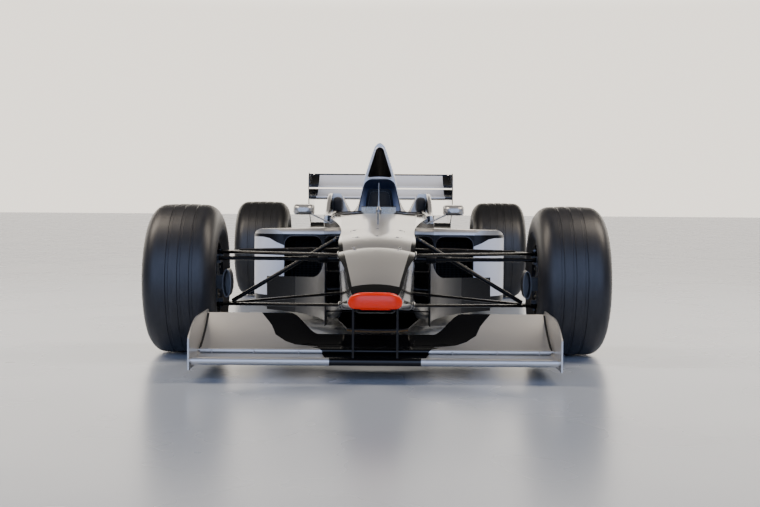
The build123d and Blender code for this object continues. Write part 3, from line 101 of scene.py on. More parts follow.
class Finish:
    """A material as it is built up: its shader, and where a point lies in the car's own frame, in metres."""

    def __init__(self, name, colour, metallic=0.0, roughness=0.5, **sockets):
        self.material = bpy.data.materials.new(name)
        self.material.use_nodes = True
        self.material.diffuse_color = linear(colour)
        self.tree = self.material.node_tree
        self.shader = self.tree.nodes["Principled BSDF"]
        self.set(Base_Color=linear(colour), Metallic=metallic, Roughness=roughness, **sockets)
        self.point = add_node(self.tree, "ShaderNodeTexCoord").outputs["Object"]
        axes = add_node(self.tree, "ShaderNodeSeparateXYZ", {0: self.point}).outputs
        self.y, self.z = axes["Y"], axes["Z"]
        self.width = add_node(self.tree, "ShaderNodeMath", {0: axes["X"]}, operation="ABSOLUTE").outputs[0]

    def set(self, **sockets):
        """Give the shader's sockets their values. An underscore stands for a space."""
        for socket, value in sockets.items():
            self.shader.inputs[socket.replace("_", " ")].default_value = value

    def feed(self, socket, source):
        """Let a socket of the shader follow a source."""
        self.tree.links.new(source, self.shader.inputs[socket])

    def above(self, value, edge, soft=0.6 * MM):
        """Mask that is 1 where value is above edge, a number or a socket, with a crisp painted edge."""
        gap = add_node(self.tree, "ShaderNodeMath", {0: value, 1: edge}, operation="SUBTRACT").outputs[0]
        steep = {0: gap, 1: 0.5 / soft, 2: 0.5}
        return add_node(self.tree, "ShaderNodeMath", steep, operation="MULTIPLY_ADD", use_clamp=True).outputs[0]

    def below(self, value, edge):
        """Mask that is 1 where value is below edge."""
        over = self.above(value, edge)
        return add_node(self.tree, "ShaderNodeMath", {0: 1.0, 1: over}, operation="SUBTRACT").outputs[0]

    def both(self, *masks):
        """Mask where all the given masks hold."""
        result = masks[0]
        for mask in masks[1:]:
            product = {0: result, 1: mask}
            result = add_node(self.tree, "ShaderNodeMath", product, operation="MULTIPLY").outputs[0]
        return result

    def edge(self, value, *stops):
        """Where a painted edge lies for each value, in straight runs between (value, edge) stops."""
        result = stops[0][1]
        for (start, low), (stop, high) in zip(stops, stops[1:]):
            ramp = {0: value, 1: start, 2: stop, 3: 0.0, 4: high - low}
            run = add_node(self.tree, "ShaderNodeMapRange", ramp).outputs[0]
            result = add_node(self.tree, "ShaderNodeMath", {0: result, 1: run}, operation="ADD").outputs[0]
        return result

    def mottle(self, size, detail=2.0, stretch=(1.0, 1.0, 1.0)):
        """Uneven patches about size metres wide, stretched along the car's axes, from 0 to 1."""
        scale = tuple(1 / (size * s) for s in stretch)
        scaled = add_node(self.tree, "ShaderNodeMapping", {0: self.point, "Scale": scale}).outputs[0]
        patches = {0: scaled, "Scale": 1.0, "Detail": detail}
        return add_node(self.tree, "ShaderNodeTexNoise", patches).outputs["Fac"]

    def vary(self, socket, factor, low, high):
        """Let a socket wander between two values, or two colours, as factor goes from 0 to 1."""
        if isinstance(low, str):
            colours = {0: factor, 6: linear(low), 7: linear(high)}
            self.feed(socket, add_node(self.tree, "ShaderNodeMix", colours, data_type="RGBA").outputs[2])
        else:
            span = {0: factor, 3: low, 4: high}
            self.feed(socket, add_node(self.tree, "ShaderNodeMapRange", span).outputs[0])

    def relief(self, height, depth, strength):
        """Raise the surface where height is 1, by depth metres."""
        bump = {"Height": height, "Distance": depth, "Strength": strength}
        self.feed("Normal", add_node(self.tree, "ShaderNodeBump", bump).outputs[0])

    def repaint(self, mask, colour, roughness, coat=0.12, specular=0.28, metallic=0.0):
        """Lay another finish over what the shader has so far, where mask is 1."""
        for socket, over in (
            ("Base Color", colour), ("Metallic", metallic), ("Roughness", roughness), ("Coat Weight", coat),
            ("Specular IOR Level", specular),
        ):
            target = self.shader.inputs[socket]
            under = target.links[0].from_socket if target.is_linked else target.default_value
            if socket == "Base Color":
                colours = {0: mask, 6: under, 7: over}
                self.feed(socket, add_node(self.tree, "ShaderNodeMix", colours, data_type="RGBA").outputs[2])
            else:
                self.feed(socket, add_node(self.tree, "ShaderNodeMix", {0: mask, 2: under, 3: over}).outputs[0])


# Materials

def metallic_lacquer(name, paint):
    """Silver base coat with fine aluminium flake under clear lacquer, sprayed on carbon panels.

    The flake gives a soft grey sheen, and the lacquer over it a faint sharp second reflection.
    """
    coat = Finish(name, "#c9c7c3", 0.72, 0.34, Coat_Weight=0.35, Coat_Roughness=0.06, Coat_IOR=1.5)
    orange_peel = coat.mottle(14 * MM, 1.0)
    # real flakes are 0.03 mm, drawn at 2.2 mm so that their sparkle still shows
    flake = coat.mottle(2.2 * MM, 0.0)
    silver = {0: flake, 6: (*(0.9 * c for c in paint.silver), 1.0), 7: (*paint.silver, 1.0)}
    coat.feed("Base Color", add_node(coat.tree, "ShaderNodeMix", silver, data_type="RGBA").outputs[2])
    coat.vary("Roughness", orange_peel, 0.3, 0.38)
    coat.relief(orange_peel, 0.12 * MM, 0.5)
    return coat


def nose_lacquer(paint):
    """The nose: silver above, black round the tip and below, and red where the tip cap covers it."""
    coat = metallic_lacquer("nose_lacquered_carbon", paint)
    shoulder = coat.edge(coat.y, (nose_tip, 0.338), (nose_tip + 0.64, 0.468))
    flank = coat.edge(coat.y, (nose_tip, 0.078), (nose_tip + 0.64, 0.139))
    y_black = nose_tip + 0.105
    for mask in (coat.below(coat.z, shoulder), coat.above(coat.width, flank), coat.below(coat.y, y_black)):
        coat.repaint(mask, BLACK, 0.12)
    coat.repaint(coat.below(coat.y, nose_tip + 0.024), (*paint.accent, 1.0), 0.3, 0.0, 0.15)
    return coat


def chassis_lacquer(paint):
    """The tub: silver deck, black flanks and belly."""
    coat = metallic_lacquer("chassis_lacquered_carbon", paint)
    flank = coat.edge(coat.y, (-1.64, 0.140), (-1.30, 0.160), (-0.90, 0.175), (-0.33, 0.200), (-0.10, 0.290))
    shoulder = coat.edge(coat.y, (-1.64, 0.455), (-1.30, 0.505), (-0.90, 0.535), (-0.54, 0.570), (-0.22, 0.585))
    coat.repaint(coat.above(coat.width, flank), BLACK, 0.12)
    coat.repaint(coat.below(coat.z, shoulder), BLACK, 0.12)
    return coat


def cover_lacquer(paint):
    """The engine cover: silver outside, a slate blue recess below the intake, made light as a painted
    reflection on its walls and dark as painted shade at its top and back, and a matt black duct.
    """
    coat = metallic_lacquer("cover_lacquered_carbon", paint)
    y_face, z_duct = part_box("engine_cover")[0][1], 0.800
    inside = coat.both(coat.above(coat.y, y_face + 0.0006, 0.2 * MM), coat.below(coat.y, y_face + 0.071))
    recess_edge = coat.edge(coat.z, (0.55, 0.141), (0.80, 0.084))
    recess = coat.both(inside, coat.below(coat.width, recess_edge), coat.below(coat.z, z_duct))
    # slate blue recess paint, made light as a painted reflection of the daylight in front
    coat.repaint(recess, linear("#8593b3"), 0.3)
    # painted shade: the recess darkens towards its top, under the intake
    coat.repaint(coat.both(recess, coat.above(coat.z, 0.690, 60 * MM)), linear("#2a3144"), 0.3)
    # painted shade: the back of the recess, round the headrest, is nearly black
    coat.repaint(coat.both(recess, coat.above(coat.y, y_face + 0.0605)), linear("#171a21"), 0.7, 0.0)
    duct_edge = coat.edge(coat.z, (0.80, 0.0765), (0.964, 0.0285), (0.985, 0.012))
    duct = coat.both(inside, coat.below(coat.width, duct_edge), coat.above(coat.z, z_duct))
    coat.repaint(duct, MATT_BLACK, 0.7)
    return coat


def cockpit_lacquer(paint):
    """The cockpit sides: silver outside and on top, gloss black towards the driver."""
    coat = metallic_lacquer("cockpit_lacquered_carbon", paint)
    coat.repaint(coat.both(coat.below(coat.width, 0.2675), coat.below(coat.y, 0.232)), BLACK, 0.14)
    return coat


def sidepod_lacquer(paint):
    """A silver pod, black round its intake and under its shoulder, with a white flank and a dark foot."""
    coat = metallic_lacquer("sidepod_lacquered_carbon", paint)
    y_pod, z_foot, x_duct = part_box("sidepod_left")[0][1], 0.155, 0.5135
    y, z, width = coat.y, coat.z, coat.width
    shoulder = coat.edge(y, (-0.10, 0.492), (0.26, 0.486), (0.70, 0.444), (1.10, 0.388), (1.42, 0.340))
    line = coat.edge(y, (-0.10, 0.474), (0.26, 0.470), (0.70, 0.430), (1.10, 0.376), (1.42, 0.330))
    flank = coat.edge(width, (0.505, 0.424), (0.560, 0.446), (0.600, 0.467), (0.640, 0.474), (0.700, 0.480))
    coat.repaint(coat.below(z, shoulder), BLACK, 0.12)
    white = coat.both(
        coat.below(z, line), coat.below(z, flank), coat.above(width, 0.512), coat.above(z, z_foot)
    )
    coat.repaint(white, linear("#dfe2e8"), 0.24)
    coat.repaint(coat.below(z, z_foot), linear("#101114"), 0.26)
    duct = coat.both(
        coat.above(y, y_pod + 0.006), coat.below(y, y_pod + 0.40), coat.below(width, x_duct),
        coat.below(z, 0.481), coat.above(z, 0.189),
    )
    coat.repaint(duct, MATT_BLACK, 0.5)
    stripe = coat.both(
        coat.above(width, 0.446), coat.below(width, 0.524), coat.below(y, y_pod + 0.052),
        coat.above(y, y_pod + 0.036), coat.above(z, 0.500),
    )
    coat.repaint(stripe, (*paint.accent, 1.0), 0.2)
    return coat


def flap_lacquer(paint):
    """The front flap: silver outside, gloss black inside an S-shaped edge."""
    coat = metallic_lacquer("flap_lacquered_carbon", paint)
    edge = coat.edge(
        coat.z, (0.093, 0.209), (0.101, 0.219), (0.112, 0.318), (0.123, 0.360), (0.143, 0.402), (0.175, 0.423),
        (0.219, 0.469),
    )
    coat.repaint(coat.below(coat.width, edge), BLACK, 0.08)
    return coat


def main_plane_lacquer(paint):
    """The front main plane: silver outside, black across the middle."""
    coat = metallic_lacquer("main_plane_lacquered_carbon", paint)
    low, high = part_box("front_wing_main")
    edge = coat.edge(coat.y, (low[1], 0.172), (high[1], 0.212))
    coat.repaint(coat.below(coat.width, edge), BLACK, 0.1)
    return coat


def rear_wing_lacquer():
    """The rear wing: white across the middle, black at the ends."""
    coat = Finish("rear_wing_lacquered_carbon", "#0b0b0d", 0.0, 0.14, Coat_Weight=1.0, Coat_Roughness=0.03)
    coat.repaint(coat.below(coat.width, 0.452), linear("#d5d6d8"), 0.22)
    coat.relief(coat.mottle(18 * MM, 1.0), 0.1 * MM, 0.4)
    return coat


def gloss_black(name="black_lacquered_carbon"):
    """Black lacquer over carbon, polished: nearly a mirror at a slant."""
    coat = Finish(name, "#0b0b0d", 0.0, 0.16, Coat_Weight=1.0, Coat_Roughness=0.03)
    coat.vary("Roughness", coat.mottle(30 * MM, 3.0), 0.12, 0.22)
    coat.relief(coat.mottle(18 * MM, 1.0), 0.1 * MM, 0.4)
    return coat


def satin_lacquer(name, colour, roughness=0.36):
    """Satin lacquer rubbed down before its last coat: even, with a broad soft reflection."""
    coat = Finish(name, colour, 0.0, roughness, Coat_Weight=0.25, Coat_Roughness=0.2)
    coat.vary("Roughness", coat.mottle(40 * MM, 3.0), roughness - 0.05, roughness + 0.08)
    coat.relief(coat.mottle(9 * MM, 1.0), 0.08 * MM, 0.4)
    return coat


def tip_lacquer(paint):
    """Opaque signal red lacquer on the nose tip: a strong flat colour with soft highlights."""
    coat = satin_lacquer("red_lacquered_tip", "#ff2d05", 0.2)
    coat.set(Coat_Weight=0.0, Base_Color=(*paint.accent, 1.0))
    return coat


def arm_lacquer():
    """Black lacquer over the carbon suspension arms: thin highlights along their leading edges."""
    coat = satin_lacquer("lacquered_carbon_arms", "#08080a", 0.2)
    coat.set(Specular_IOR_Level=0.16, Coat_Weight=0.05)
    return coat


def bargeboard_lacquer():
    """The bargeboards: satin dark grey boards with glossier black tails, on matt black stays."""
    coat = satin_lacquer("satin_lacquered_carbon", "#18191b")
    coat.repaint(coat.below(coat.width, 0.240), MATT_BLACK, 0.6, 0.0)
    coat.repaint(coat.above(coat.width, 0.440), BLACK, 0.2)
    return coat


def woven_carbon(name="bare_woven_carbon"):
    """Bare carbon in satin lacquer. The real 2 mm twill is drawn at 6 mm so that it still shows."""
    coat = Finish(name, "#15161a", 0.0, 0.4, Coat_Weight=0.15, Coat_Roughness=0.2)
    slant = (0.0, 0.0, math.radians(45))
    turned = add_node(coat.tree, "ShaderNodeMapping", {0: coat.point, "Rotation": slant}).outputs[0]
    twill = add_node(coat.tree, "ShaderNodeTexChecker", {0: turned, "Scale": 1 / (6 * MM)}).outputs["Fac"]
    coat.vary("Base Color", twill, "#0f1013", "#1a1c20")
    coat.vary("Roughness", twill, 0.34, 0.5)
    return coat


def race_rubber(name, dark, dusty_and_sheen):
    """Vulcanised racing rubber, scrubbed in: fine rings round the tread, dust in patches and a dull sheen. Its
    colours, lifted on the front tyres, also paint in a daylight sheen.
    """
    rubber = Finish(name, "#1a1a1b", 0.0, 0.46, Specular_IOR_Level=0.5)
    rings = rubber.mottle(5 * MM, 3.0, (0.5, 60.0, 60.0))
    # patches of dust; on the front tyres both colours are lifted as a painted daylight sheen
    rubber.vary("Base Color", rubber.mottle(45 * MM, 5.0, (0.5, 1.6, 1.6)), dark, dusty_and_sheen)
    rubber.vary("Roughness", rings, 0.32, 0.5)
    rubber.relief(rings, 0.4 * MM, 0.6)
    return rubber


def moulded_rubber(name):
    """Compression moulded rubber: matt black with a faint bloom."""
    rubber = Finish(name, "#161617", 0.0, 0.6, Specular_IOR_Level=0.4)
    rubber.vary("Roughness", rubber.mottle(6 * MM, 3.0), 0.5, 0.7)
    rubber.relief(rubber.mottle(1.2 * MM, 2.0), 0.1 * MM, 0.5)
    return rubber


def satin_metal(name, colour, metallic, roughness):
    """Machined or cast metal, satin finished, with faint tool and casting marks."""
    metal = Finish(name, colour, metallic, roughness)
    marks = metal.mottle(3 * MM, 3.0)
    metal.vary("Roughness", marks, roughness - 0.07, roughness + 0.1)
    metal.relief(marks, 0.08 * MM, 0.5)
    return metal


def wheel_metal(end, disc_inner):
    """Forged magnesium wheel in anodised grey, with the ground carbon brake disc on the same hub.

    The wheel keeps a soft metal sheen, and the disc is a flat graphite grey.
    """
    metal = Finish(f"forged_magnesium_{end}_wheel", "#37383b", 0.85, 0.34)
    marks = metal.mottle(4 * MM, 3.0)
    metal.vary("Roughness", marks, 0.28, 0.42)
    metal.relief(marks, 0.08 * MM, 0.5)
    hub = (0.0, middle(f"{end}_tyre_left").y, wheel_height)
    offset = {0: metal.point, 1: hub}
    offset = add_node(metal.tree, "ShaderNodeVectorMath", offset, operation="SUBTRACT").outputs[0]
    flat = {0: offset, 1: (0.0, 1.0, 1.0)}
    flat = add_node(metal.tree, "ShaderNodeVectorMath", flat, operation="MULTIPLY").outputs[0]
    reach = add_node(metal.tree, "ShaderNodeVectorMath", {0: flat}, operation="LENGTH").outputs["Value"]
    disc = metal.both(
        metal.above(metal.width, disc_inner), metal.below(metal.width, disc_inner + 0.029),
        metal.below(reach, 0.141), metal.above(reach, 0.050),
    )
    metal.repaint(disc, linear("#242426"), 0.4, metallic=0.2)
    return metal


def woven_cover(name, colour, thread=4 * MM):
    """Dull woven cover cloth. The real 1 mm thread is drawn coarser so that its chequers show."""
    cloth = Finish(name, colour, 0.0, 0.85, Sheen_Weight=0.3, Sheen_Roughness=0.4)
    weave = add_node(cloth.tree, "ShaderNodeTexChecker", {0: cloth.point, "Scale": 1 / thread}).outputs["Fac"]
    cloth.relief(weave, 0.4 * MM, 0.6)
    cloth.vary("Roughness", cloth.mottle(25 * MM, 3.0), 0.75, 0.92)
    return cloth


def nylon_webbing():
    """Woven nylon belt: dense ribs across its width, drawn at 3 mm where the real ones are 1.5 mm."""
    cloth = Finish("woven_nylon_webbing", "#17181c", 0.0, 0.7, Sheen_Weight=0.35, Sheen_Roughness=0.4)
    wave = {0: cloth.point, "Scale": 1 / (3 * MM) / 6.283, "Distortion": 0.4}
    ribs = add_node(
        cloth.tree, "ShaderNodeTexWave", wave, wave_type="BANDS", bands_direction="DIAGONAL"
    ).outputs["Fac"]
    cloth.vary("Base Color", ribs, "#111216", "#24262c")
    cloth.relief(ribs, 0.5 * MM, 0.6)
    return cloth


def suede(name, colour):
    """Brushed suede on a grip: deep, matt and soft at its edges."""
    hide = Finish(name, colour, 0.0, 0.9, Sheen_Weight=0.6, Sheen_Roughness=0.5)
    hide.relief(hide.mottle(1.5 * MM, 3.0), 0.3 * MM, 0.6)
    return hide


def moulded_plastic(name, colour, roughness=0.4):
    """Injection moulded plastic with a fine spark-eroded grain: a soft highlight that never quite clears."""
    plastic = Finish(name, colour, 0.0, roughness, IOR=1.49)
    plastic.relief(plastic.mottle(0.9 * MM, 2.0), 0.05 * MM, 0.5)
    plastic.vary("Roughness", plastic.mottle(12 * MM, 2.0), roughness * 0.85, roughness * 1.2)
    return plastic


def clear_sheet():
    """Vacuum formed polycarbonate screen with a pale tint, so near white that it also shows a painted whitish
    sheen: seen through, with sharp reflections.
    """
    # painted sheen: the near white colour on the partly opaque sheet shows as a whitish reflection
    sheet = Finish("formed_polycarbonate", "#dfe9ee", 0.0, 0.04, IOR=1.58, Alpha=0.3, Coat_Weight=0.5)
    sheet.vary("Roughness", sheet.mottle(60 * MM, 2.0), 0.03, 0.08)
    return sheet


def silvered_glass():
    """Back silvered mirror glass with a few wiping streaks."""
    glass = Finish("back_silvered_glass", "#ccd4da", 1.0, 0.03)
    glass.vary("Roughness", glass.mottle(20 * MM, 3.0, (3.0, 1.0, 0.6)), 0.02, 0.07)
    return glass


def matt_void(name):
    """The dark of a gap or a hole: unpainted edges in shade, so nearly no light comes back."""
    dark = Finish(name, "#060607", 0.0, 0.8)
    dark.vary("Roughness", dark.mottle(8 * MM, 2.0), 0.7, 0.9)
    return dark


def skid_plank():
    """Laminated beech skid plank, sanded: long grain along the car, a few scuffs."""
    wood = Finish("sanded_laminated_beech", "#8a6a45", 0.0, 0.6)
    grain = wood.mottle(6 * MM, 4.0, (0.8, 40.0, 1.0))
    wood.vary("Base Color", grain, "#6f5433", "#9a7a52")
    wood.relief(grain, 0.3 * MM, 0.5)
    return wood


def radiator_core():
    """Folded aluminium fins between flat tubes, bare metal painted nearly black as the shade deep inside the
    pod. Real 2 mm fins, drawn at 12 mm.
    """
    metal = Finish("folded_aluminium_fins", "#5f6266", 0.8, 0.5)
    wave = {0: metal.point, "Scale": 1 / (12 * MM) / 6.283, "Distortion": 0.0}
    fins = add_node(
        metal.tree, "ShaderNodeTexWave", wave, wave_type="BANDS", bands_direction="X"
    ).outputs["Fac"]
    # painted shade: the fins are coloured nearly black for the shade deep inside the pod
    metal.vary("Base Color", fins, "#090a0c", "#232528")
    metal.relief(fins, 2 * MM, 0.8)
    return metal


def resin_floor(colour):
    """Poured resin floor, pale and slightly glossy."""
    resin = Finish("poured_resin_floor", "#ffffff", 0.0, 0.22)
    resin.set(Base_Color=(*colour, 1.0))
    resin.vary("Roughness", resin.mottle(0.6, 3.0), 0.24, 0.3)
    return resin


# Meshes

def grid_faces(rows, columns, close_rows=False, close_columns=False):
    """Faces of a rows by columns grid of points, which may close on itself either way."""
    faces = []
    for row in range(rows if close_rows else rows - 1):
        for column in range(columns if close_columns else columns - 1):
            this, following = row * columns, (row + 1) % rows * columns
            after = (column + 1) % columns
            faces.append((this + column, this + after, following + after, following + column))
    return faces


def headings(path, closed):
    """The direction of a path at each of its points."""
    before = [path[-1 if closed else 0], *path[:-1]]
    after = [*path[1:], path[0 if closed else -1]]
    return [(stop - start).normalized() for start, stop in zip(before, after)]


def place_piece(mesh, body):
    """Put a mesh in the scene as a piece of its own that rides on a body."""
    piece = bpy.data.objects.new(mesh.name, mesh)
    bpy.context.scene.collection.objects.link(piece)
    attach(piece, body)
    return piece


class Shape:
    """Points and faces that several small forms are gathered in before they become one piece."""

    def __init__(self):
        self.points, self.faces = [], []

    def add(self, points, faces):
        """Add points, and faces that count from the first of them."""
        start = len(self.points)
        self.points.extend(points)
        self.faces.extend(tuple(index + start for index in face) for face in faces)

    def skin(self, rings, rows, columns, closed=False):
        """Join rows of points, each a closed ring, and cap both ends unless the rows close on themselves."""
        faces = grid_faces(rows, columns, close_rows=closed, close_columns=True)
        if not closed:
            faces += [tuple(reversed(range(columns))), tuple(range((rows - 1) * columns, rows * columns))]
        self.add(rings, faces)

    def sweep(self, path, section, up=(0.0, 0.0, 1.0), closed=False):
        """Carry a flat section of (across, up) pairs along a path of points."""
        path = [Vector(p) for p in path]
        rings = []
        for point, along in zip(path, headings(path, closed)):
            across = along.cross(Vector(up)).normalized()
            rise = across.cross(along)
            rings.extend(point + across * a + rise * b for a, b in section)
        self.skin(rings, len(path), len(section), closed)

    def spin(self, profile, centre, axis, steps, closed_profile=False):
        """Turn a profile of (along, radius) pairs about an axis through centre."""
        centre, axis = Vector(centre), Vector(axis).normalized()
        side = axis.orthogonal().normalized()
        other = axis.cross(side)
        rings = []
        for step in range(steps):
            angle = 2 * math.pi * step / steps
            out = side * math.cos(angle) + other * math.sin(angle)
            rings.extend(centre + axis * along + out * radius for along, radius in profile)
        self.add(rings, grid_faces(steps, len(profile), close_rows=True, close_columns=closed_profile))

    def block(self, centre, size, bevel, turn=Matrix.Identity(3)):
        """Add a box with bevelled vertical and horizontal edges."""
        half, centre = Vector(size) / 2, Vector(centre)
        corner = min(bevel, *half)
        rings = []
        for z, inset in ((-half.z, corner), (-half.z + corner, 0.0), (half.z - corner, 0.0), (half.z, corner)):
            x, y = half.x - inset, half.y - inset
            x_in, y_in = x - corner, y - corner
            outline = (
                (x, y_in), (x_in, y), (-x_in, y), (-x, y_in), (-x, -y_in), (-x_in, -y), (x_in, -y), (x, -y_in),
            )
            rings.extend(centre + turn @ Vector((a, b, z)) for a, b in outline)
        self.skin(rings, 4, 8)

    def bolt(self, place, normal, radius, height):
        """Add a hexagonal bolt head with a washer face."""
        profile = ((0.0, 1.3), (0.25, 1.3), (0.25, 1.0), (0.9, 1.0), (1.0, 0.86), (1.0, 0.0))
        self.spin([(a * height, r * radius) for a, r in profile], place, normal, 6)

    def disc(self, place, normal, radius, height, steps=16):
        """Add a low round stud with a bevelled rim."""
        profile = ((-height, radius), (0.6 * height, radius), (height, 0.85 * radius), (height, 0.0))
        self.spin(profile, place, normal, steps)

    def pad(self, place, normal, along, half_long, half_short, height, steps=28):
        """Add a low oval boss with a rounded rim, its long way along a direction."""
        normal, along = Vector(normal).normalized(), Vector(along).normalized()
        across = normal.cross(along).normalized()
        rings = []
        for rise, share in ((-0.6, 1.0), (0.45, 1.0), (0.85, 0.9), (1.0, 0.72), (1.0, 0.0)):
            for step in range(steps):
                angle = 2 * math.pi * step / steps
                out = along * math.cos(angle) * half_long + across * math.sin(angle) * half_short
                rings.append(place + normal * rise * height + out * share)
        self.add(rings, grid_faces(5, steps, close_columns=True))

    def ribbon(self, path, normals, width, thickness, closed=False):
        """Lay a flat band with softened edges along a path, its outer face along the normals."""
        half, edge = width / 2, thickness * 0.4
        section = (
            (-half, 0.0), (-half, thickness - edge), (-half + edge, thickness), (half - edge, thickness),
            (half, thickness - edge), (half, 0.0),
        )
        path = [Vector(p) for p in path]
        rings = []
        for point, normal, along in zip(path, normals, headings(path, closed)):
            normal = Vector(normal).normalized()
            across = along.cross(normal).normalized()
            rings.extend(point + across * a + normal * b for a, b in section)
        self.skin(rings, len(path), len(section), closed)

    def lay(self, hits, sink, width, thickness, closed=False):
        """Lay a ribbon on the hits of a surface, its foot sunk into it."""
        path = [point - normal * sink for point, normal in hits]
        self.ribbon(path, [normal for _, normal in hits], width, thickness, closed)

    def tube(self, path, radius, steps, closed=False):
        """Run a round tube along a path."""
        start = Vector(path[1]) - Vector(path[0])
        up = (0.0, 0.0, 1.0) if abs(start.normalized().z) < 0.9 else (0.0, 1.0, 0.0)
        self.sweep(path, circle(radius, steps), up, closed)

    def make(self, name, finish, body, slot, crease=35.0):
        """Turn what was gathered into one piece. Edges that bend by more than crease degrees stay sharp."""
        mesh = bpy.data.meshes.new(name)
        mesh.from_pydata([tuple(p) for p in self.points], [], self.faces)
        mesh.validate()
        mesh.materials.append(finish.material)
        mesh.shade_smooth()
        mesh.set_sharp_from_angle(angle=math.radians(crease))
        return place_piece(mesh, body)


def circle(radius, steps=12, squash=1.0):
    """Section points of a circle or, with squash, of a flattened bar."""
    return [
        (radius * math.cos(2 * math.pi * i / steps), radius * squash * math.sin(2 * math.pi * i / steps))
        for i in range(steps)
    ]


def straight(start, stop, steps):
    """Points of a straight row, with both its ends."""
    return [tuple(a + (b - a) * step / steps for a, b in zip(start, stop)) for step in range(steps + 1)]


def rounded_loop(corners, steps=6):
    """Points of a closed outline whose corners, given as (a, b, radius), are rounded."""
    points = []
    for index, (a, b, radius) in enumerate(corners):
        corner = Vector((a, b))
        to_last = (Vector(corners[index - 1][:2]) - corner).normalized()
        to_next = (Vector(corners[(index + 1) % len(corners)][:2]) - corner).normalized()
        half_angle = to_last.angle(to_next) / 2
        centre = corner + (to_last + to_next).normalized() * radius / math.sin(half_angle)
        start = corner + to_last * radius / math.tan(half_angle) - centre
        stop = corner + to_next * radius / math.tan(half_angle) - centre
        turn = math.copysign(math.pi - 2 * half_angle, start.x * stop.y - start.y * stop.x)
        points.extend(centre + Matrix.Rotation(turn * step / steps, 2) @ start for step in range(steps + 1))
    return points


def smooth_path(corners, steps=8):
    """Points of an open curve that passes smoothly through all the given corners."""
    corners = [Vector(c) for c in corners]
    ends = [2 * corners[0] - corners[1], *corners, 2 * corners[-1] - corners[-2]]
    points = []
    for before, start, end, after in zip(ends, ends[1:], ends[2:], ends[3:]):
        for step in range(steps):
            t = step / steps
            points.append(0.5 * (
                2 * start + (end - before) * t + (2 * before - 5 * start + 4 * end - after) * t * t
                + (3 * start - before - 3 * end + after) * t ** 3
            ))
    points.append(corners[-1])
    return points


class Surface:
    """The outside of some CAD nodes, to seat small pieces on."""

    def __init__(self, *nodes):
        points, faces = [], []
        for node in nodes:
            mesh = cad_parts[node].data
            start = len(points)
            points.extend(vertex.co.copy() for vertex in mesh.vertices)
            faces.extend(tuple(index + start for index in polygon.vertices) for polygon in mesh.polygons)
        self.tree = BVHTree.FromPolygons(points, faces)
        self.nodes = nodes

    def hit(self, start, direction):
        """The point and outward normal that a line from start first meets."""
        point, normal, _, _ = self.tree.ray_cast(Vector(start), Vector(direction).normalized())
        if point is None:
            raise RuntimeError(f"nothing of {self.nodes} lies from {tuple(start)} along {tuple(direction)}")
        if normal.dot(Vector(direction)) > 0:
            normal = -normal
        return point, normal

    def trace(self, starts, direction):
        """The hits of a row of lines, without those that pass beside the surface."""
        along = Vector(direction).normalized()
        meets = [start for start in starts if self.tree.ray_cast(Vector(start), along)[0] is not None]
        hits = [self.hit(start, along) for start in meets]
        if len(hits) < 3:
            raise RuntimeError(f"a row of lines from {tuple(starts[0])} passes beside {self.nodes}")
        return hits

    def top(self, x, y, z=1.2):
        """The point and normal right under (x, y)."""
        return self.hit((x, y, z), (0, 0, -1))


def turn_about_x(angle):
    """Unit vector square to X, at an angle from +Y towards +Z."""
    return Vector((0.0, math.cos(angle), math.sin(angle)))


def spokes(count, shift=0.0):
    """Unit vectors square to X, spread evenly round it."""
    return [turn_about_x(2 * math.pi * (index + shift) / count) for index in range(count)]


# Sizes and colours that a user would change

class RacerPaint(bpy.types.PropertyGroup):
    """Colours of the bodywork and of the studio floor."""

    silver: FloatVectorProperty(
        name="Silver", description="Colour of the silver base coat", subtype="COLOR",
        default=linear("#c9c7c3")[:3], min=0.0, max=1.0,
    )
    accent: FloatVectorProperty(
        name="Accent", description="Colour of the nose tip and the thin stripes", subtype="COLOR",
        default=linear("#ff2d05")[:3], min=0.0, max=1.0,
    )
    floor: FloatVectorProperty(
        name="Floor", description="Colour of the studio floor", subtype="COLOR",
        default=linear("#b7bfca")[:3], min=0.0, max=1.0,
    )


class RacerTyres(bpy.types.PropertyGroup):
    """Sizes of the tyre tread."""

    groove_spacing: FloatProperty(
        name="Groove spacing", description="Distance between tread grooves", default=0.050, unit="LENGTH"
    )
    groove_width: FloatProperty(
        name="Groove width", description="Width of a groove at the tread", default=0.014, unit="LENGTH"
    )
    groove_depth: FloatProperty(
        name="Groove depth", description="Depth of a groove", default=0.0032, unit="LENGTH"
    )
    steps: IntProperty(name="Steps", description="Facets round one tyre", default=144, min=24)


class RacerTrim(bpy.types.PropertyGroup):
    """Sizes of seams, fasteners and padding."""

    seam_width: FloatProperty(
        name="Seam width", description="Width of the gap between two body panels", default=0.0026, unit="LENGTH"
    )
    fastener_radius: FloatProperty(
        name="Fastener radius", description="Radius of a quarter-turn fastener", default=0.0075, unit="LENGTH"
    )
    padding_swell: FloatProperty(
        name="Padding swell", description="How far a pad's cover may bulge", default=0.007, unit="LENGTH"
    )
    belt_width: FloatProperty(
        name="Belt width", description="Width of the shoulder belts", default=0.074, unit="LENGTH"
    )


# Stage

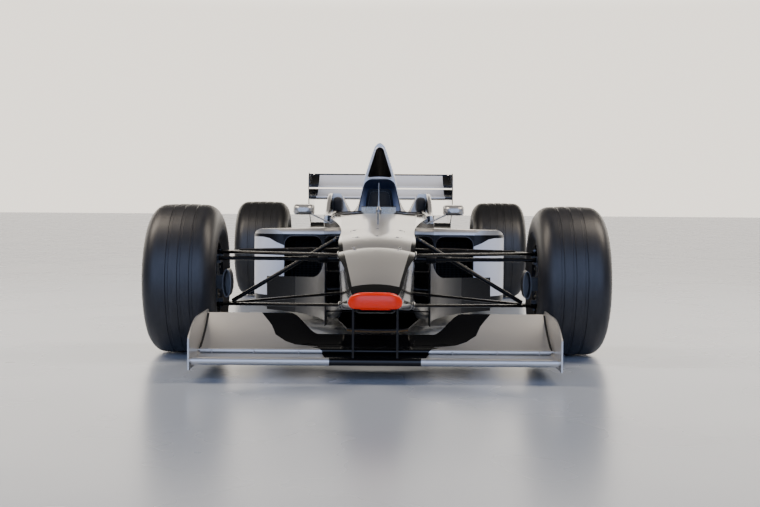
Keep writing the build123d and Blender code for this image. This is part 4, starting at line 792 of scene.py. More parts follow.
class RACER_OT_stage(bpy.types.Operator):
    """Set up the floor, the lights and the camera"""

    bl_idname = "racer.stage"
    bl_label = "Stage"

    camera_place = (0.036, -6.600, 0.696)
    camera_lens = 56.49
    camera_pitch = 2.71
    camera_yaw = 0.26
    camera_roll = 0.40

    def execute(self, context):
        scene = context.scene
        self.add_floor(scene)
        self.add_camera(scene)
        self.add_lights(scene)
        return {"FINISHED"}

    def add_floor(self, scene):
        mesh = bpy.data.meshes.new("studio_floor")
        reach = 40.0
        corners = [(-reach, -reach, 0), (reach, -reach, 0), (reach, reach, 0), (-reach, reach, 0)]
        mesh.from_pydata(corners, [], [(0, 1, 2, 3)])
        mesh.materials.append(resin_floor(scene.racer_paint.floor).material)
        floor = bpy.data.objects.new("studio_floor", mesh)
        scene.collection.objects.link(floor)

    def add_camera(self, scene):
        camera = bpy.data.objects.new("camera", bpy.data.cameras.new("camera"))
        scene.collection.objects.link(camera)
        camera.data.sensor_width = 36.0
        camera.data.lens = self.camera_lens
        camera.location = self.camera_place
        turn = Matrix.Rotation(math.radians(self.camera_yaw), 4, "Z")
        tilt = Matrix.Rotation(math.radians(90 - self.camera_pitch), 4, "X")
        roll = Matrix.Rotation(math.radians(self.camera_roll), 4, "Z")
        camera.matrix_world = Matrix.Translation(self.camera_place) @ turn @ tilt @ roll
        scene.camera = camera

    def add_lights(self, scene):
        self.add_surroundings(scene)
        for side, side_name in SIDES:
            name = f"{side_name}_ceiling_panel"
            spot, aim = Vector((side * 3.4, -0.6, 4.4)), Vector((side * 0.3, -0.8, 0.3))
            lamp = bpy.data.lights.new(name, "AREA")
            lamp.shape = "RECTANGLE"
            lamp.size, lamp.size_y = 1.6, 3.4
            lamp.energy = 190.0
            lamp.color = linear("#fff0dc")[:3]
            holder = bpy.data.objects.new(name, lamp)
            scene.collection.objects.link(holder)
            holder.location = spot
            holder.rotation_euler = (aim - spot).to_track_quat("-Z", "Y").to_euler()

    def add_surroundings(self, scene):
        """A pale wall behind the car, darker sides and ceiling, and cool daylight in front of it."""
        world = bpy.data.worlds.new("studio_world")
        scene.world = world
        world.use_nodes = True
        tree = world.node_tree
        background = tree.nodes["Background"]
        way = add_node(tree, "ShaderNodeTexCoord").outputs["Generated"]
        axes = add_node(tree, "ShaderNodeSeparateXYZ", {0: way}).outputs
        # soft steps: axis, where each starts and stops, value before and after
        climb, behind, lit, high, ahead = (
            add_node(
                tree, "ShaderNodeMapRange", {0: axes[axis], 1: start, 2: stop, 3: before, 4: after},
                interpolation_type="SMOOTHSTEP",
            ).outputs[0]
            for axis, start, stop, before, after in (
                ("Z", 0.24, 0.40, 0.0, 1.0), ("Y", 0.35, 0.85, 0.0, 1.0),
                # the wall is brighter above what the camera sees of it, as beside a row of lights
                ("Z", 0.15, 0.20, 1.0, 1.9),
                # daylight falls off upwards and to the sides
                ("Z", 0.85, 0.60, 0.0, 1.0), ("Y", -0.40, -0.85, 0.0, 1.0),
            )
        )
        day = add_node(tree, "ShaderNodeMath", {0: high, 1: ahead}, operation="MULTIPLY").outputs[0]
        walls = {0: behind, 6: linear("#34373d"), 7: linear("#e2dace")}
        walls = add_node(tree, "ShaderNodeMix", walls, data_type="RGBA").outputs[2]
        glow = add_node(tree, "ShaderNodeVectorMath", {0: walls, "Scale": lit}, operation="SCALE").outputs[0]
        room = {0: climb, 6: glow, 7: linear("#31302e")}
        room = add_node(tree, "ShaderNodeMix", room, data_type="RGBA").outputs[2]
        daylight = {0: day, 6: room, 7: linear("#b6caf6")}
        daylight = add_node(tree, "ShaderNodeMix", daylight, data_type="RGBA").outputs[2]
        tree.links.new(daylight, background.inputs["Color"])
        background.inputs["Strength"].default_value = 2.6


# Paint

class RACER_OT_paint(bpy.types.Operator):
    """Paint the bodywork, wings and bare metal"""

    bl_idname = "racer.paint"
    bl_label = "Paint"

    def execute(self, context):
        paint = context.scene.racer_paint
        # columns: finish, nodes
        for finish, nodes in (
            (nose_lacquer(paint), ("nose_cone",)),
            (chassis_lacquer(paint), ("monocoque",)),
            (cover_lacquer(paint), ("engine_cover",)),
            (cockpit_lacquer(paint), ("cockpit_sides",)),
            (sidepod_lacquer(paint), ("sidepod_left", "sidepod_right")),
            (flap_lacquer(paint), ("front_wing_flap",)),
            (main_plane_lacquer(paint), ("front_wing_main",)),
            (rear_wing_lacquer(), ("rear_wing_main", "rear_wing_flap")),
            (metallic_lacquer("silver_lacquered_carbon", paint), ("front_wing_endplates", "mirrors")),
            (gloss_black(), ("rear_wing_endplates",)),
            (bargeboard_lacquer(), ("bargeboards",)),
            (woven_carbon(), ("floor", "rear_beam_wing", "rear_impact_structure", "seat")),
            (arm_lacquer(), (
                "front_upper_wishbones", "front_lower_wishbones", "front_pushrods", "track_rods",
                "rear_upper_wishbones", "rear_lower_wishbones", "rear_pushrods",
            )),
            (skid_plank(), ("plank",)),
            (radiator_core(), ("radiators",)),
            (satin_metal("cast_magnesium", "#5b5c5e", 0.9, 0.45), (
                "gearbox", "front_upright_left", "front_upright_right", "rear_uprights",
            )),
            (satin_metal("cast_aluminium", "#77797c", 0.9, 0.5), ("engine",)),
            (wheel_metal("front", 0.7555), ("front_wheel_left", "front_wheel_right")),
            (wheel_metal("rear", 0.7475), ("rear_wheel_left", "rear_wheel_right")),
            (satin_metal("turned_steel", "#8d8f92", 1.0, 0.28), ("probes",)),
            (clear_sheet(), ("windscreen",)),
            (moulded_plastic("clear_red_acrylic", "#7c0606", 0.12), ("rain_light",)),
            (woven_cover("cut_foam_cover", "#141416"), ("headrest",)),
            (moulded_plastic("moulded_wheel_face", "#131417", 0.42), ("steering_wheel",)),
        ):
            for node in nodes:
                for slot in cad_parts[node].material_slots:
                    slot.material = finish.material
        return {"FINISHED"}


# Tyres

def tyre_profile(half, radius, bead_half, bead_radius, grooves, shift, settings):
    """Outline of a tyre as (across, radius) pairs, from the inner bead over the tread to the outer bead."""
    tread = half - 72 * MM
    wall_radius = radius - 95 * MM
    drop = 3 * MM

    def crown(u):
        return radius - drop * (u / tread) ** 2

    outside = []
    # rings moulded on the side wall: step, height
    rings = {2: 1.6 * MM, 3: 1.6 * MM, 15: 1.0 * MM, 16: 1.0 * MM}
    for step in range(22):
        share = step / 21
        bulge = (half - 1.0 * MM - bead_half) * math.sin(share * math.pi / 2) ** 0.9
        outside.append((
            bead_half + bulge + rings.get(step, 0.0), bead_radius + (wall_radius - bead_radius) * share,
        ))
    # the rounded shoulder
    for step in range(1, 13):
        angle = math.pi / 2 * step / 12
        climb = (crown(tread) - wall_radius) * math.sin(angle)
        outside.append((tread + (half - tread) * math.cos(angle), wall_radius + climb))
    first = shift - (grooves - 1) / 2 * settings.groove_spacing
    top, foot = settings.groove_width / 2, settings.groove_width * 0.36
    notches = []
    for index in range(grooves):
        centre = first + index * settings.groove_spacing
        notches.extend((
            (centre - top, 0.0), (centre - foot, settings.groove_depth),
            (centre + foot, settings.groove_depth), (centre + top, 0.0),
        ))
    tread_line = [(u, crown(u) - depth) for u, depth in notches]
    inner_side = [(-u, r) for u, r in outside]
    outer_side = [(u, r) for u, r in reversed(outside)]
    lining = [
        (bead_half - 14 * MM, bead_radius), (half - 16 * MM, wall_radius), (tread, radius - 20 * MM),
        (-tread, radius - 20 * MM), (-half + 16 * MM, wall_radius), (-bead_half + 14 * MM, bead_radius),
    ]
    return inner_side + tread_line + outer_side + lining


class RACER_OT_tyres(bpy.types.Operator):
    """Make the four grooved tyres"""

    bl_idname = "racer.tyres"
    bl_label = "Tyres"

    def execute(self, context):
        settings = context.scene.racer_tyres
        # the front colours are lighter than the rear ones: a painted daylight sheen that the rear tyres, in the
        # car's shade, lack
        for end, grooves, bead_half, dark, dusty_and_sheen in (
            ("front", 3, 0.130, "#16171a", "#2e2e31"), ("rear", 4, 0.154, "#101011", "#262524"),
        ):
            rubber = race_rubber(f"grooved_{end}_rubber", dark, dusty_and_sheen)
            for side, side_name in SIDES:
                node = f"{end}_tyre_{side_name}"
                low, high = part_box(node)
                shape = Shape()
                shift = -side * (12 * MM if end == "front" else 0.0)
                profile = tyre_profile(
                    (high[0] - low[0]) / 2, (high[2] - low[2]) / 2, bead_half, 0.167, grooves, shift, settings
                )
                shape.spin(profile, middle(node), (1, 0, 0), settings.steps, closed_profile=True)
                tyre = shape.make(f"{node}_grooved", rubber, f"{end}_{side_name}_wheel", "tyre_rubber")
                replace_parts(tyre, node)
        return {"FINISHED"}


# Wheels and brakes

class RACER_OT_wheels(bpy.types.Operator):
    """Fit wheel nuts, rim bolts, rim lips, valves and brake vents"""

    bl_idname = "racer.wheels"
    bl_label = "Wheel details"

    def execute(self, context):
        alloy = satin_metal("machined_aluminium", "#a9abad", 1.0, 0.26)
        steel = satin_metal("zinc_plated_steel", "#8f8d86", 1.0, 0.3)
        nut_metal = satin_metal("blue_anodised_aluminium", "#3a4a66", 0.9, 0.3)
        vent = matt_void("brake_vent_shadow")
        # end of the car, half width of the rim, disc vents' place beside the tyre's middle
        for end, rim_half, disc in (("front", 0.136, -0.087), ("rear", 0.160, -0.072)):
            for side, side_name in SIDES:
                body, slot = f"{end}_{side_name}_wheel", "wheel_metal"
                centre = middle(f"{end}_tyre_{side_name}")
                rim = Surface(f"{end}_wheel_{side_name}")
                out = Vector((side, 0, 0))
                bolts, lips, vents = Shape(), Shape(), Shape()
                # bolts: how many, turned by what share of a step, circle's radius, head's radius and height
                for count, shift, circle_radius, radius, height in (
                    (18, 0.5, 0.1515, 0.0042, 0.005), (6, 0.0, 0.040, 0.005, 0.006),
                ):
                    for around in spokes(count, shift):
                        point, normal = rim.hit(centre + around * circle_radius + out * 0.4, -out)
                        bolts.bolt(point, normal, radius, height)
                foot, top = side * (rim_half - 0.001), side * (rim_half + 0.0022)
                lip = [(foot, 0.1745), (top, 0.1752), (top, 0.1775), (foot, 0.1785)]
                lips.spin(lip, centre, (1, 0, 0), 96, closed_profile=True)
                bolts.make(f"{body}_bolts", steel, body, slot)
                lips.make(f"{body}_lip", alloy, body, slot)
                self.add_nut(rim, centre, out, body, nut_metal, steel)
                self.add_valve(centre, side, rim_half, body, steel)
                for index, around in enumerate(spokes(48)):
                    across = disc + (0.007, 0.0145, 0.022)[index % 3]
                    vents.disc(centre + out * across + around * 0.139, around, 0.0034, 0.0004, 10)
                vents.make(f"{body}_disc_vents", vent, body, slot)
        return {"FINISHED"}

    def add_nut(self, rim, centre, out, body, nut_metal, steel):
        """A castellated centre nut with a locking pin, seated on the hub's outer face."""
        point, _ = rim.hit(centre + out * 0.4 + Vector((0, 0, 0.012)), -out)
        base = point - Vector((0, 0, 0.012))
        nut, pin = Shape(), Shape()
        collar = [
            (-0.014, 0.0255), (-0.012, 0.0275), (0.001, 0.0268), (0.003, 0.025), (0.003, 0.0185),
            (0.0, 0.0175),
        ]
        nut.spin(collar, base, out, 48)
        for index, around in enumerate(spokes(12)):
            turn = Matrix.Rotation(2 * math.pi * index / 12, 3, "X")
            nut.block(base + around * 0.0268 - out * 0.006, (0.012, 0.0046, 0.0046), 0.0008, turn)
        pin.spin([(-0.002, 0.0145), (0.004, 0.0138), (0.007, 0.0105), (0.007, 0.0)], base, out, 32)
        pin.block(base + out * 0.006, (0.007, 0.026, 0.0055), 0.0014)
        nut.make(f"{body}_nut", nut_metal, body, "wheel_metal")
        pin.make(f"{body}_locking_pin", steel, body, "wheel_metal")

    def add_valve(self, centre, side, rim_half, body, steel):
        """The valve stem inside the outer flange."""
        valve = Shape()
        around = turn_about_x(math.radians(105))
        root = centre + around * 0.156 + Vector((side * (rim_half - 0.038), 0, 0))
        lean = (Vector((side, 0, 0)) - around * 0.35).normalized()
        stem = [
            (-0.006, 0.0052), (0.004, 0.0052), (0.005, 0.0034), (0.026, 0.0034), (0.027, 0.0042),
            (0.035, 0.0042), (0.036, 0.003), (0.036, 0.0),
        ]
        valve.spin(stem, root, lean, 16)
        valve.make(f"{body}_valve", steel, body, "wheel_metal")


class RACER_OT_brakes(bpy.types.Operator):
    """Fit the pistons of the front calipers, and the bolts of calipers and uprights"""

    bl_idname = "racer.brakes"
    bl_label = "Brake details"

    def execute(self, context):
        steel = satin_metal("turned_steel_fittings", "#9a9a98", 1.0, 0.28)
        for side, side_name in SIDES:
            body, node = f"front_{side_name}_upright", f"front_upright_{side_name}"
            upright = Surface(node)
            bolts = Shape()
            for z_step in (-0.052, 0.0, 0.052):
                start = (side * 0.756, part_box(node)[1][1] + 0.3, wheel_height + z_step)
                bolts.bolt(*upright.hit(start, (0, -1, 0)), 0.0062, 0.007)
            for z_step in (-0.03, 0.03):
                start = (side * 0.2, front_axle + 0.118, wheel_height + z_step)
                point, normal = upright.hit(start, (side, 0, 0))
                bolts.disc(point, normal, 0.017, 0.0045, 24)
                bolts.disc(point + normal * 0.004, normal, 0.008, 0.003, 20)
            for y_step, z_step in ((0.0, 0.075), (0.0, -0.072), (0.02, 0.05), (0.02, -0.05)):
                start = (side * 0.5, front_axle + y_step, wheel_height + z_step)
                bolts.bolt(*upright.hit(start, (side, 0, 0)), 0.006, 0.007)
            bolts.make(f"front_{side_name}_caliper_bolts", steel, body, "magnesium")
        return {"FINISHED"}


# Running gear

# inner ends of the front arms: x, y, z
UPPER_ROOTS = ((0.120, -1.536, 0.448), (0.120, -1.038, 0.452))
LOWER_ROOTS = ((0.090, -1.550, 0.236), (0.120, -1.015, 0.250))


class RACER_OT_suspension(bpy.types.Operator):
    """Fit the shrouds, bolts and pipes of the front and rear suspension"""

    bl_idname = "racer.suspension"
    bl_label = "Suspension details"

    def execute(self, context):
        black = gloss_black("black_lacquered_shrouds")
        steel = satin_metal("blued_bearing_steel", "#5b5d62", 1.0, 0.3)
        pipe = satin_metal("drawn_copper_nickel_pipe", "#6d665c", 1.0, 0.34)
        tub = Surface("monocoque")
        for side, side_name in SIDES:
            shrouds, bolts, line = Shape(), Shape(), Shape()
            for roots, z_outer in ((UPPER_ROOTS, 0.448), (LOWER_ROOTS, 0.216)):
                for x, y, z in roots:
                    inner, outer = Vector((side * x, y, z)), Vector((side * 0.700, front_axle, z_outer))
                    point, normal = tub.hit(inner.lerp(outer, 0.6), inner - outer)
                    along = Vector((0, 1, 0)) - normal * normal.y
                    shrouds.pad(point, normal, along, 0.038, 0.017, 0.006)
                    for reach in (-0.028, 0.028):
                        seat, flat = tub.hit(point + along.normalized() * reach + normal * 0.05, -normal)
                        bolts.bolt(seat + flat * 0.002, flat, 0.0036, 0.004)
            for z, root in ((0.448, 0.013), (0.216, -0.013)):
                top = Vector((side * 0.700, front_axle, z + root))
                bolts.bolt(top, (0, 0, math.copysign(1, root)), 0.0085, 0.007)
            joint = Vector((side * 0.190, front_axle, 0.503))
            shank = [
                (-0.015, 0.0), (-0.015, 0.005), (-0.011, 0.005), (-0.011, 0.0075),
                (0.011, 0.0075), (0.011, 0.005), (0.015, 0.005), (0.015, 0.0),
            ]
            bolts.spin(shank, joint, (0, 1, 0), 24)
            # the brake pipe runs on the rear leg of the upper arm, on three clips
            x, y, z = UPPER_ROOTS[1]
            inner, outer = Vector((side * x, y, z)), Vector((side * 0.700, front_axle, 0.448))
            lift = 0.0095
            run = [
                inner.lerp(outer, share) + Vector((0, 0, lift + dip))
                for share, dip in ((0.16, -0.004), (0.3, 0.0), (0.5, 0.0), (0.7, 0.0), (0.86, 0.0))
            ]
            line.tube(smooth_path(run, 6), 0.0028, 8)
            for share in (0.3, 0.5, 0.7):
                spot = inner.lerp(outer, share) + Vector((0, 0, lift - 0.002))
                line.block(spot, (0.007, 0.016, 0.005), 0.001)
            shrouds.make(f"front_arm_shrouds_{side_name}", black, "chassis", "black_paint")
            bolts.make(f"front_arm_bolts_{side_name}", steel, "chassis", "steel")
            line.make(f"front_brake_pipe_{side_name}", pipe, "chassis", "steel")
            self.rear(side, side_name, black, steel)
        self.gaiters()
        return {"FINISHED"}

    def rear(self, side, side_name, black, steel):
        """Shrouds where the rear arms meet the gearbox, and the bolts at the uprights."""
        gearbox = Surface("gearbox")
        shrouds, bolts = Shape(), Shape()
        for z_outer, z in ((0.436, 0.350), (0.226, 0.262)):
            for x, y in ((0.060, 1.470), (0.050, 1.920)):
                inner, outer = Vector((side * x, y, z)), Vector((side * 0.666, rear_axle, z_outer))
                point, normal = gearbox.hit(outer, inner - outer)
                along = Vector((0, 1, 0)) - normal * normal.y
                shrouds.pad(point, normal, along, 0.036, 0.018, 0.007)
                for reach in (-0.025, 0.025):
                    bolts.bolt(point + along.normalized() * reach + normal * 0.006, normal, 0.0038, 0.004)
        upright = Surface("rear_uprights")
        for y_step, z_step in ((-0.012, 0.10), (0.012, 0.10), (-0.012, -0.10), (0.012, -0.10), (0.0, 0.055)):
            start = (side * 0.4, rear_axle + y_step, wheel_height + z_step)
            bolts.bolt(*upright.hit(start, (side, 0, 0)), 0.0055, 0.006)
        shrouds.make(f"rear_arm_shrouds_{side_name}", black, "chassis", "black_paint")
        bolts.make(f"rear_arm_bolts_{side_name}", steel, "chassis", "steel")

    def gaiters(self):
        """Pleated rubber gaiters on the track rods, just outside the tub."""
        rubber = moulded_rubber("moulded_gaiter_rubber")
        for side, side_name in SIDES:
            gaiter = Shape()
            centre = Vector((side * 0.215, middle("track_rods").y, 0.425))
            profile = [(0.0, 0.0185)]
            for step in range(7):
                profile.extend(((0.006 * step + 0.002, 0.0215 - 0.0004 * step), (0.006 * step + 0.005, 0.017)))
            profile.extend(((0.044, 0.0155), (0.046, 0.0)))
            gaiter.spin(profile, centre, (side, 0, 0), 32)
            gaiter.make(f"track_rod_gaiter_{side_name}", rubber, "steering_rack", "carbon")


# Bodywork

def lay_seam(shape, surface, starts, direction, width, thickness=0.0007):
    """Lay a dark line on a surface, under or beside the given starting points."""
    shape.lay(surface.trace(starts, direction), 0.0004, width, thickness)


def fasten(studs, slots, point, normal, radius):
    """A quarter-turn fastener: a dished ring with a slotted stud inside."""
    studs.spin(
        [(-0.002, radius), (0.0008, radius), (0.0014, radius * 0.88), (0.0006, radius * 0.7), (0.0006, 0.0)],
        point, normal, 20,
    )
    studs.spin([(0.0, radius * 0.55), (0.0014, radius * 0.5), (0.0014, 0.0)], point, normal, 16)
    along = Vector(normal).orthogonal().normalized()
    foot, reach = point + normal * 0.0012, along * radius * 0.42
    slots.ribbon([foot - reach, foot + reach], [normal, normal], radius * 0.2, 0.0005)


class RACER_OT_seams(bpy.types.Operator):
    """Draw the gaps between body panels and fit their fasteners"""

    bl_idname = "racer.seams"
    bl_label = "Panel seams"

    def execute(self, context):
        trim = context.scene.racer_trim
        gap = matt_void("panel_gap_shadow")
        steel = satin_metal("bright_fastener_steel", "#c4c5c6", 1.0, 0.24)
        studs, slots, seams = Shape(), Shape(), Shape()
        body = Surface("monocoque", "nose_cone")
        cover = Surface("engine_cover")
        # nose to tub joint
        y_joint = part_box("monocoque")[0][1]
        for side in (LEFT, RIGHT):
            for angle in (18, 52):
                out = Vector((side * math.cos(math.radians(angle)), 0, math.sin(math.radians(angle))))
                for step in (0.022, -0.022):
                    point, normal = body.hit(Vector((0, y_joint + step, 0.36)) + out * 0.6, -out)
                    fasten(studs, slots, point, normal, trim.fastener_radius)
        # access hatch in the deck over the front dampers
        hatch = [(-0.105, -1.45, 0.03), (0.105, -1.45, 0.03), (0.125, -1.14, 0.03), (-0.125, -1.14, 0.03)]
        hits = [body.top(x, y) for x, y in rounded_loop(hatch)]
        seams.lay(hits, 0.0004, trim.seam_width, 0.0007, closed=True)
        for x, y in (
            (-0.088, -1.435), (0.088, -1.435), (-0.106, -1.155), (0.106, -1.155), (0.0, -1.155), (0.0, -1.435),
        ):
            fasten(studs, slots, *body.top(x, y), trim.fastener_radius)
        for side, side_name in SIDES:
            # engine cover: two upright splits with fasteners beside them
            for y, z_low, z_high in ((0.66, 0.590, 0.955), (1.16, 0.505, 0.845)):
                starts = straight((side * 0.8, y, z_low), (side * 0.8, y, z_high), 28)
                lay_seam(seams, cover, starts, (-side, 0, 0), trim.seam_width)
                for z in (z_low + 0.025, (z_low + z_high) / 2, z_high - 0.05):
                    for step in (-0.018, 0.018):
                        point, normal = cover.hit((side * 0.8, y + step, z), (-side, 0, 0))
                        fasten(studs, slots, point, normal, trim.fastener_radius)
            pod = Surface(f"sidepod_{side_name}")
            for y, inner, outer in ((0.30, 0.315, 0.655), (0.86, 0.32, 0.60)):
                starts = straight((side * inner, y, 1.0), (side * outer, y, 1.0), 30)
                lay_seam(seams, pod, starts, (0, 0, -1), trim.seam_width)
                for share in (0.08, 0.5, 0.92):
                    for step in (-0.018, 0.018):
                        spot = (side * (inner + (outer - inner) * share), y + step)
                        fasten(studs, slots, *pod.top(*spot), trim.fastener_radius)
                starts = straight((side * 1.2, y, 0.15), (side * 1.2, y, 0.40), 24)
                lay_seam(seams, pod, starts, (-side, 0, 0), trim.seam_width)
        seams.make("panel_gaps", gap, "chassis", "silver_paint")
        studs.make("quarter_turn_fasteners", steel, "chassis", "steel")
        slots.make("fastener_slots", gap, "chassis", "steel")
        return {"FINISHED"}


def stand_in(name, node, move, turn=lambda point, normal: normal):
    """A copy of a CAD node that takes its place, reshaped by move(point).

    turn(point, normal) gives the new normal of each corner, so that the lacquer stays smooth.
    """
    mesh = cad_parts[node].data.copy()
    mesh.name = name
    mesh.materials.clear()
    mesh.materials.append(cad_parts[node].material_slots[0].material)
    points = [vertex.co.copy() for vertex in mesh.vertices]
    normals = [
        turn(points[loop.vertex_index], Vector(corner.vector))
        for loop, corner in zip(mesh.loops, mesh.corner_normals)
    ]
    for vertex, point in zip(mesh.vertices, points):
        vertex.co = move(point)
    mesh.normals_split_custom_set(normals)
    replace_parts(place_piece(mesh, "chassis"), node)


class RACER_OT_airbox(bpy.types.Operator):
    """Thin the frame round the intake, and line the intake and the recess below it"""

    bl_idname = "racer.airbox"
    bl_label = "Airbox trim"

    def execute(self, context):
        lip_finish = metallic_lacquer("lacquered_intake_lip", context.scene.racer_paint)
        seal = moulded_rubber("extruded_edge_seal")
        y_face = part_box("engine_cover")[0][1]
        # the openings' half width: height, half width
        stops = ((0.58, 0.132), (0.80, 0.080), (0.964, 0.031), (0.985, 0.024), (1.004, 0.006), (1.2, 0.0))

        def opening_edge(z):
            for (low, wide), (high, narrow) in zip(stops, stops[1:]):
                if z < high:
                    return wide + (narrow - wide) * (max(z, low) - low) / (high - low)
            return 0.0

        def pinched(point):
            """The frame keeps 30% of its width at the face, and all of it 0.37 m farther back."""
            near = max(0.0, min(1.0, (y_face + 0.37 - point.y) / 0.37))
            near = near * near * (3 - 2 * near)
            over = max(0.0, abs(point.x) - opening_edge(point.z))
            return Vector((math.copysign(abs(point.x) - over * 0.7 * near, point.x), point.y, point.z))

        def turned(point, normal):
            slopes = [
                (pinched(point + offset).x - pinched(point - offset).x) / (2 * offset.length)
                for offset in (Vector((0.5 * MM, 0, 0)), Vector((0, 0.5 * MM, 0)), Vector((0, 0, 0.5 * MM)))
            ]
            across = normal.x / max(slopes[0], 0.2)
            return Vector((across, normal.y - across * slopes[1], normal.z - across * slopes[2])).normalized()

        stand_in("slim_engine_cover", "engine_cover", pinched, turned)
        intake = [(-0.0755, 0.8035, 0.0135), (0.0755, 0.8035, 0.0135), (0.0, 1.0435, 0.0265)]
        recess = [(-0.133, 0.579, 0.05), (0.133, 0.579, 0.05), (0.081, 0.797, 0.05), (-0.081, 0.797, 0.05)]
        # name, finish, corners, steps round a corner, radius and facets of the edge
        for name, finish, corners, steps, radius, facets in (
            ("intake_lip", lip_finish, intake, 10, 0.0036, 10),
            ("recess_edge_seal", seal, recess, 8, 0.0026, 8),
        ):
            edge = Shape()
            path = [(x, y_face + 0.001, z) for x, z in rounded_loop(corners, steps)]
            edge.sweep(path, circle(radius, facets), (0, 1, 0), closed=True)
            edge.make(name, finish, "chassis", "silver_paint")
        return {"FINISHED"}


class RACER_OT_sidepods(bpy.types.Operator):
    """Edge the side intakes and detail the radiators inside"""

    bl_idname = "racer.sidepods"
    bl_label = "Sidepod details"

    def execute(self, context):
        black = gloss_black("black_lacquered_intake_edge")
        # painted shade: the aluminium tubes are coloured dark grey for the shade inside the pod
        metal = satin_metal("brazed_aluminium_tubes", "#2c2d30", 0.9, 0.5)
        y_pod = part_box("sidepod_left")[0][1]
        low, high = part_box("radiators")
        corners = ((0.3085, 0.188), (0.5145, 0.188), (0.5145, 0.482), (0.3085, 0.482))
        for side, side_name in SIDES:
            edge, core = Shape(), Shape()
            outline = rounded_loop([(side * x, z, 0.046) for x, z in corners], 8)
            edge.sweep([(x, y_pod + 0.0015, z) for x, z in outline], circle(0.003, 8), (0, 1, 0), closed=True)
            edge.make(f"side_intake_edge_{side_name}", black, "chassis", "black_paint")
            for index in range(22):
                z = low[2] + 0.022 + index * (high[2] - low[2] - 0.044) / 21
                core.block((side * 0.477, low[1] - 0.0005, z), (0.318, 0.003, 0.0034), 0.001)
            for x in (0.3215, 0.6325):
                x, y = side * x, low[1] + 0.004
                core.sweep([(x, y, low[2] + 0.003), (x, y, high[2] - 0.003)], circle(0.0066, 12), (0, 1, 0))
            core.make(f"radiator_tubes_{side_name}", metal, "chassis", "cooler_fins")
        return {"FINISHED"}


def leading_edge(surface, node, x):
    """The foremost point of a wing plane at x."""
    low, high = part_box(node)
    hits = []
    for step in range(1, 40):
        z = low[2] + (high[2] - low[2]) * step / 40
        if surface.tree.ray_cast(Vector((x, low[1] - 0.1, z)), Vector((0, 1, 0)))[0] is not None:
            hits.append(surface.hit((x, low[1] - 0.1, z), (0, 1, 0))[0])
    return min(hits, key=lambda point: point.y)


class RACER_OT_front_wing(bpy.types.Operator):
    """Fit the slot brackets, end strips, round leading edges, bolts and tip cap of the front wing"""

    bl_idname = "racer.front_wing"
    bl_label = "Front wing details"

    def execute(self, context):
        paint = context.scene.racer_paint
        silver = metallic_lacquer("lacquered_slot_brackets", paint)
        steel = satin_metal("zinc_plated_wing_bolts", "#9b9a96", 1.0, 0.3)
        gap = matt_void("flap_gap_shadow")
        ends = Surface("front_wing_endplates")
        flap = Surface("front_wing_flap")
        flap_low, flap_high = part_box("front_wing_flap")
        for side, side_name in SIDES:
            brackets, bolts, strips = Shape(), Shape(), Shape()
            for x in (0.30, 0.475, 0.64):
                point, _ = flap.top(side * x, flap_low[1] + 0.012)
                brackets.block(point + Vector((0, 0.002, -0.013)), (0.0035, 0.046, 0.016), 0.0012)
            for y, z in ((-2.12, 0.085), (-2.02, 0.10), (-1.90, 0.13), (-1.80, 0.17), (-1.74, 0.2)):
                point, normal = ends.hit((side * 1.2, y, z), (-side, 0, 0))
                bolts.disc(point, normal, 0.0065, 0.0016, 20)
                bolts.disc(point + normal * 0.0012, normal, 0.003, 0.0012, 12)
            x, y_start, y_stop = side * 0.6885, flap_low[1] + 0.004, flap_high[1] - 0.004
            starts = straight((x, y_start, 1.0), (x, y_stop, 1.0), 20)
            lay_seam(strips, flap, starts, (0, 0, -1), 0.009, 0.0009)
            # node, radius and drop of the round nose, length and climb of the tail that runs into the plane
            for node, radius, drop, tail, climb, finish in (
                ("front_wing_main", 0.0150, 0.002, 0.045, 0.002, main_plane_lacquer(paint)),
                ("front_wing_flap", 0.0095, 0.002, 0.030, 0.009, flap_lacquer(paint)),
            ):
                plane = Surface(node)
                path = sorted(
                    (leading_edge(plane, node, side * 0.686 * step / 30) for step in range(31)),
                    key=lambda point: point.x,
                )
                angles = [math.radians(-90 + 15 * step) for step in range(13)]
                curve = [
                    (0.002 + radius * (math.cos(angle) - 1), radius * math.sin(angle) - drop)
                    for angle in angles
                ]
                section = [(-tail, climb - 0.002), *curve, (-tail, climb + 0.002)]
                nose = Shape()
                nose.sweep(path, section)
                nose.make(f"{node}_leading_edge_{side_name}", finish, "chassis", "silver_paint")
            brackets.make(f"front_wing_brackets_{side_name}", silver, "chassis", "silver_paint")
            bolts.make(f"front_endplate_bolts_{side_name}", steel, "chassis", "steel")
            strips.make(f"front_flap_strips_{side_name}", gap, "chassis", "black_paint")
        self.tip_cap(paint)
        return {"FINISHED"}

    def tip_cap(self, paint):
        """The red cap across the nose tip, a little wider than the nose behind it."""
        def cut_back(point):
            """The nose behind ends inside the cap."""
            return Vector((point.x, max(point.y, nose_tip + 0.022), point.z))

        stand_in("capped_nose_cone", "nose_cone", cut_back)
        half_width, z_middle, half_height, depth = 0.100, 0.3175, 0.0305, 0.056
        rings = []
        for step in range(41):
            share = -math.cos(math.pi * step / 40)
            shrink = (1 - share ** 6) ** 0.5
            front = nose_tip + 0.0006 + 0.026 * abs(share) ** 3
            half = max(half_height * shrink, 0.0008)
            reach = max((nose_tip + depth - front) / 2, 0.004)
            for turn in range(24):
                angle = 2 * math.pi * turn / 24
                across, rise = math.cos(angle), math.sin(angle)
                rings.append((
                    share * half_width,
                    front + reach - reach * math.copysign(abs(across) ** 0.6, across) * (0.3 + 0.7 * shrink),
                    z_middle + half * math.copysign(abs(rise) ** 0.7, rise) - 0.009 * abs(share) ** 3,
                ))
        cap = Shape()
        cap.skin(rings, 41, 24)
        cap.make("nose_tip_cap", tip_lacquer(paint), "chassis", "silver_paint", 50.0)


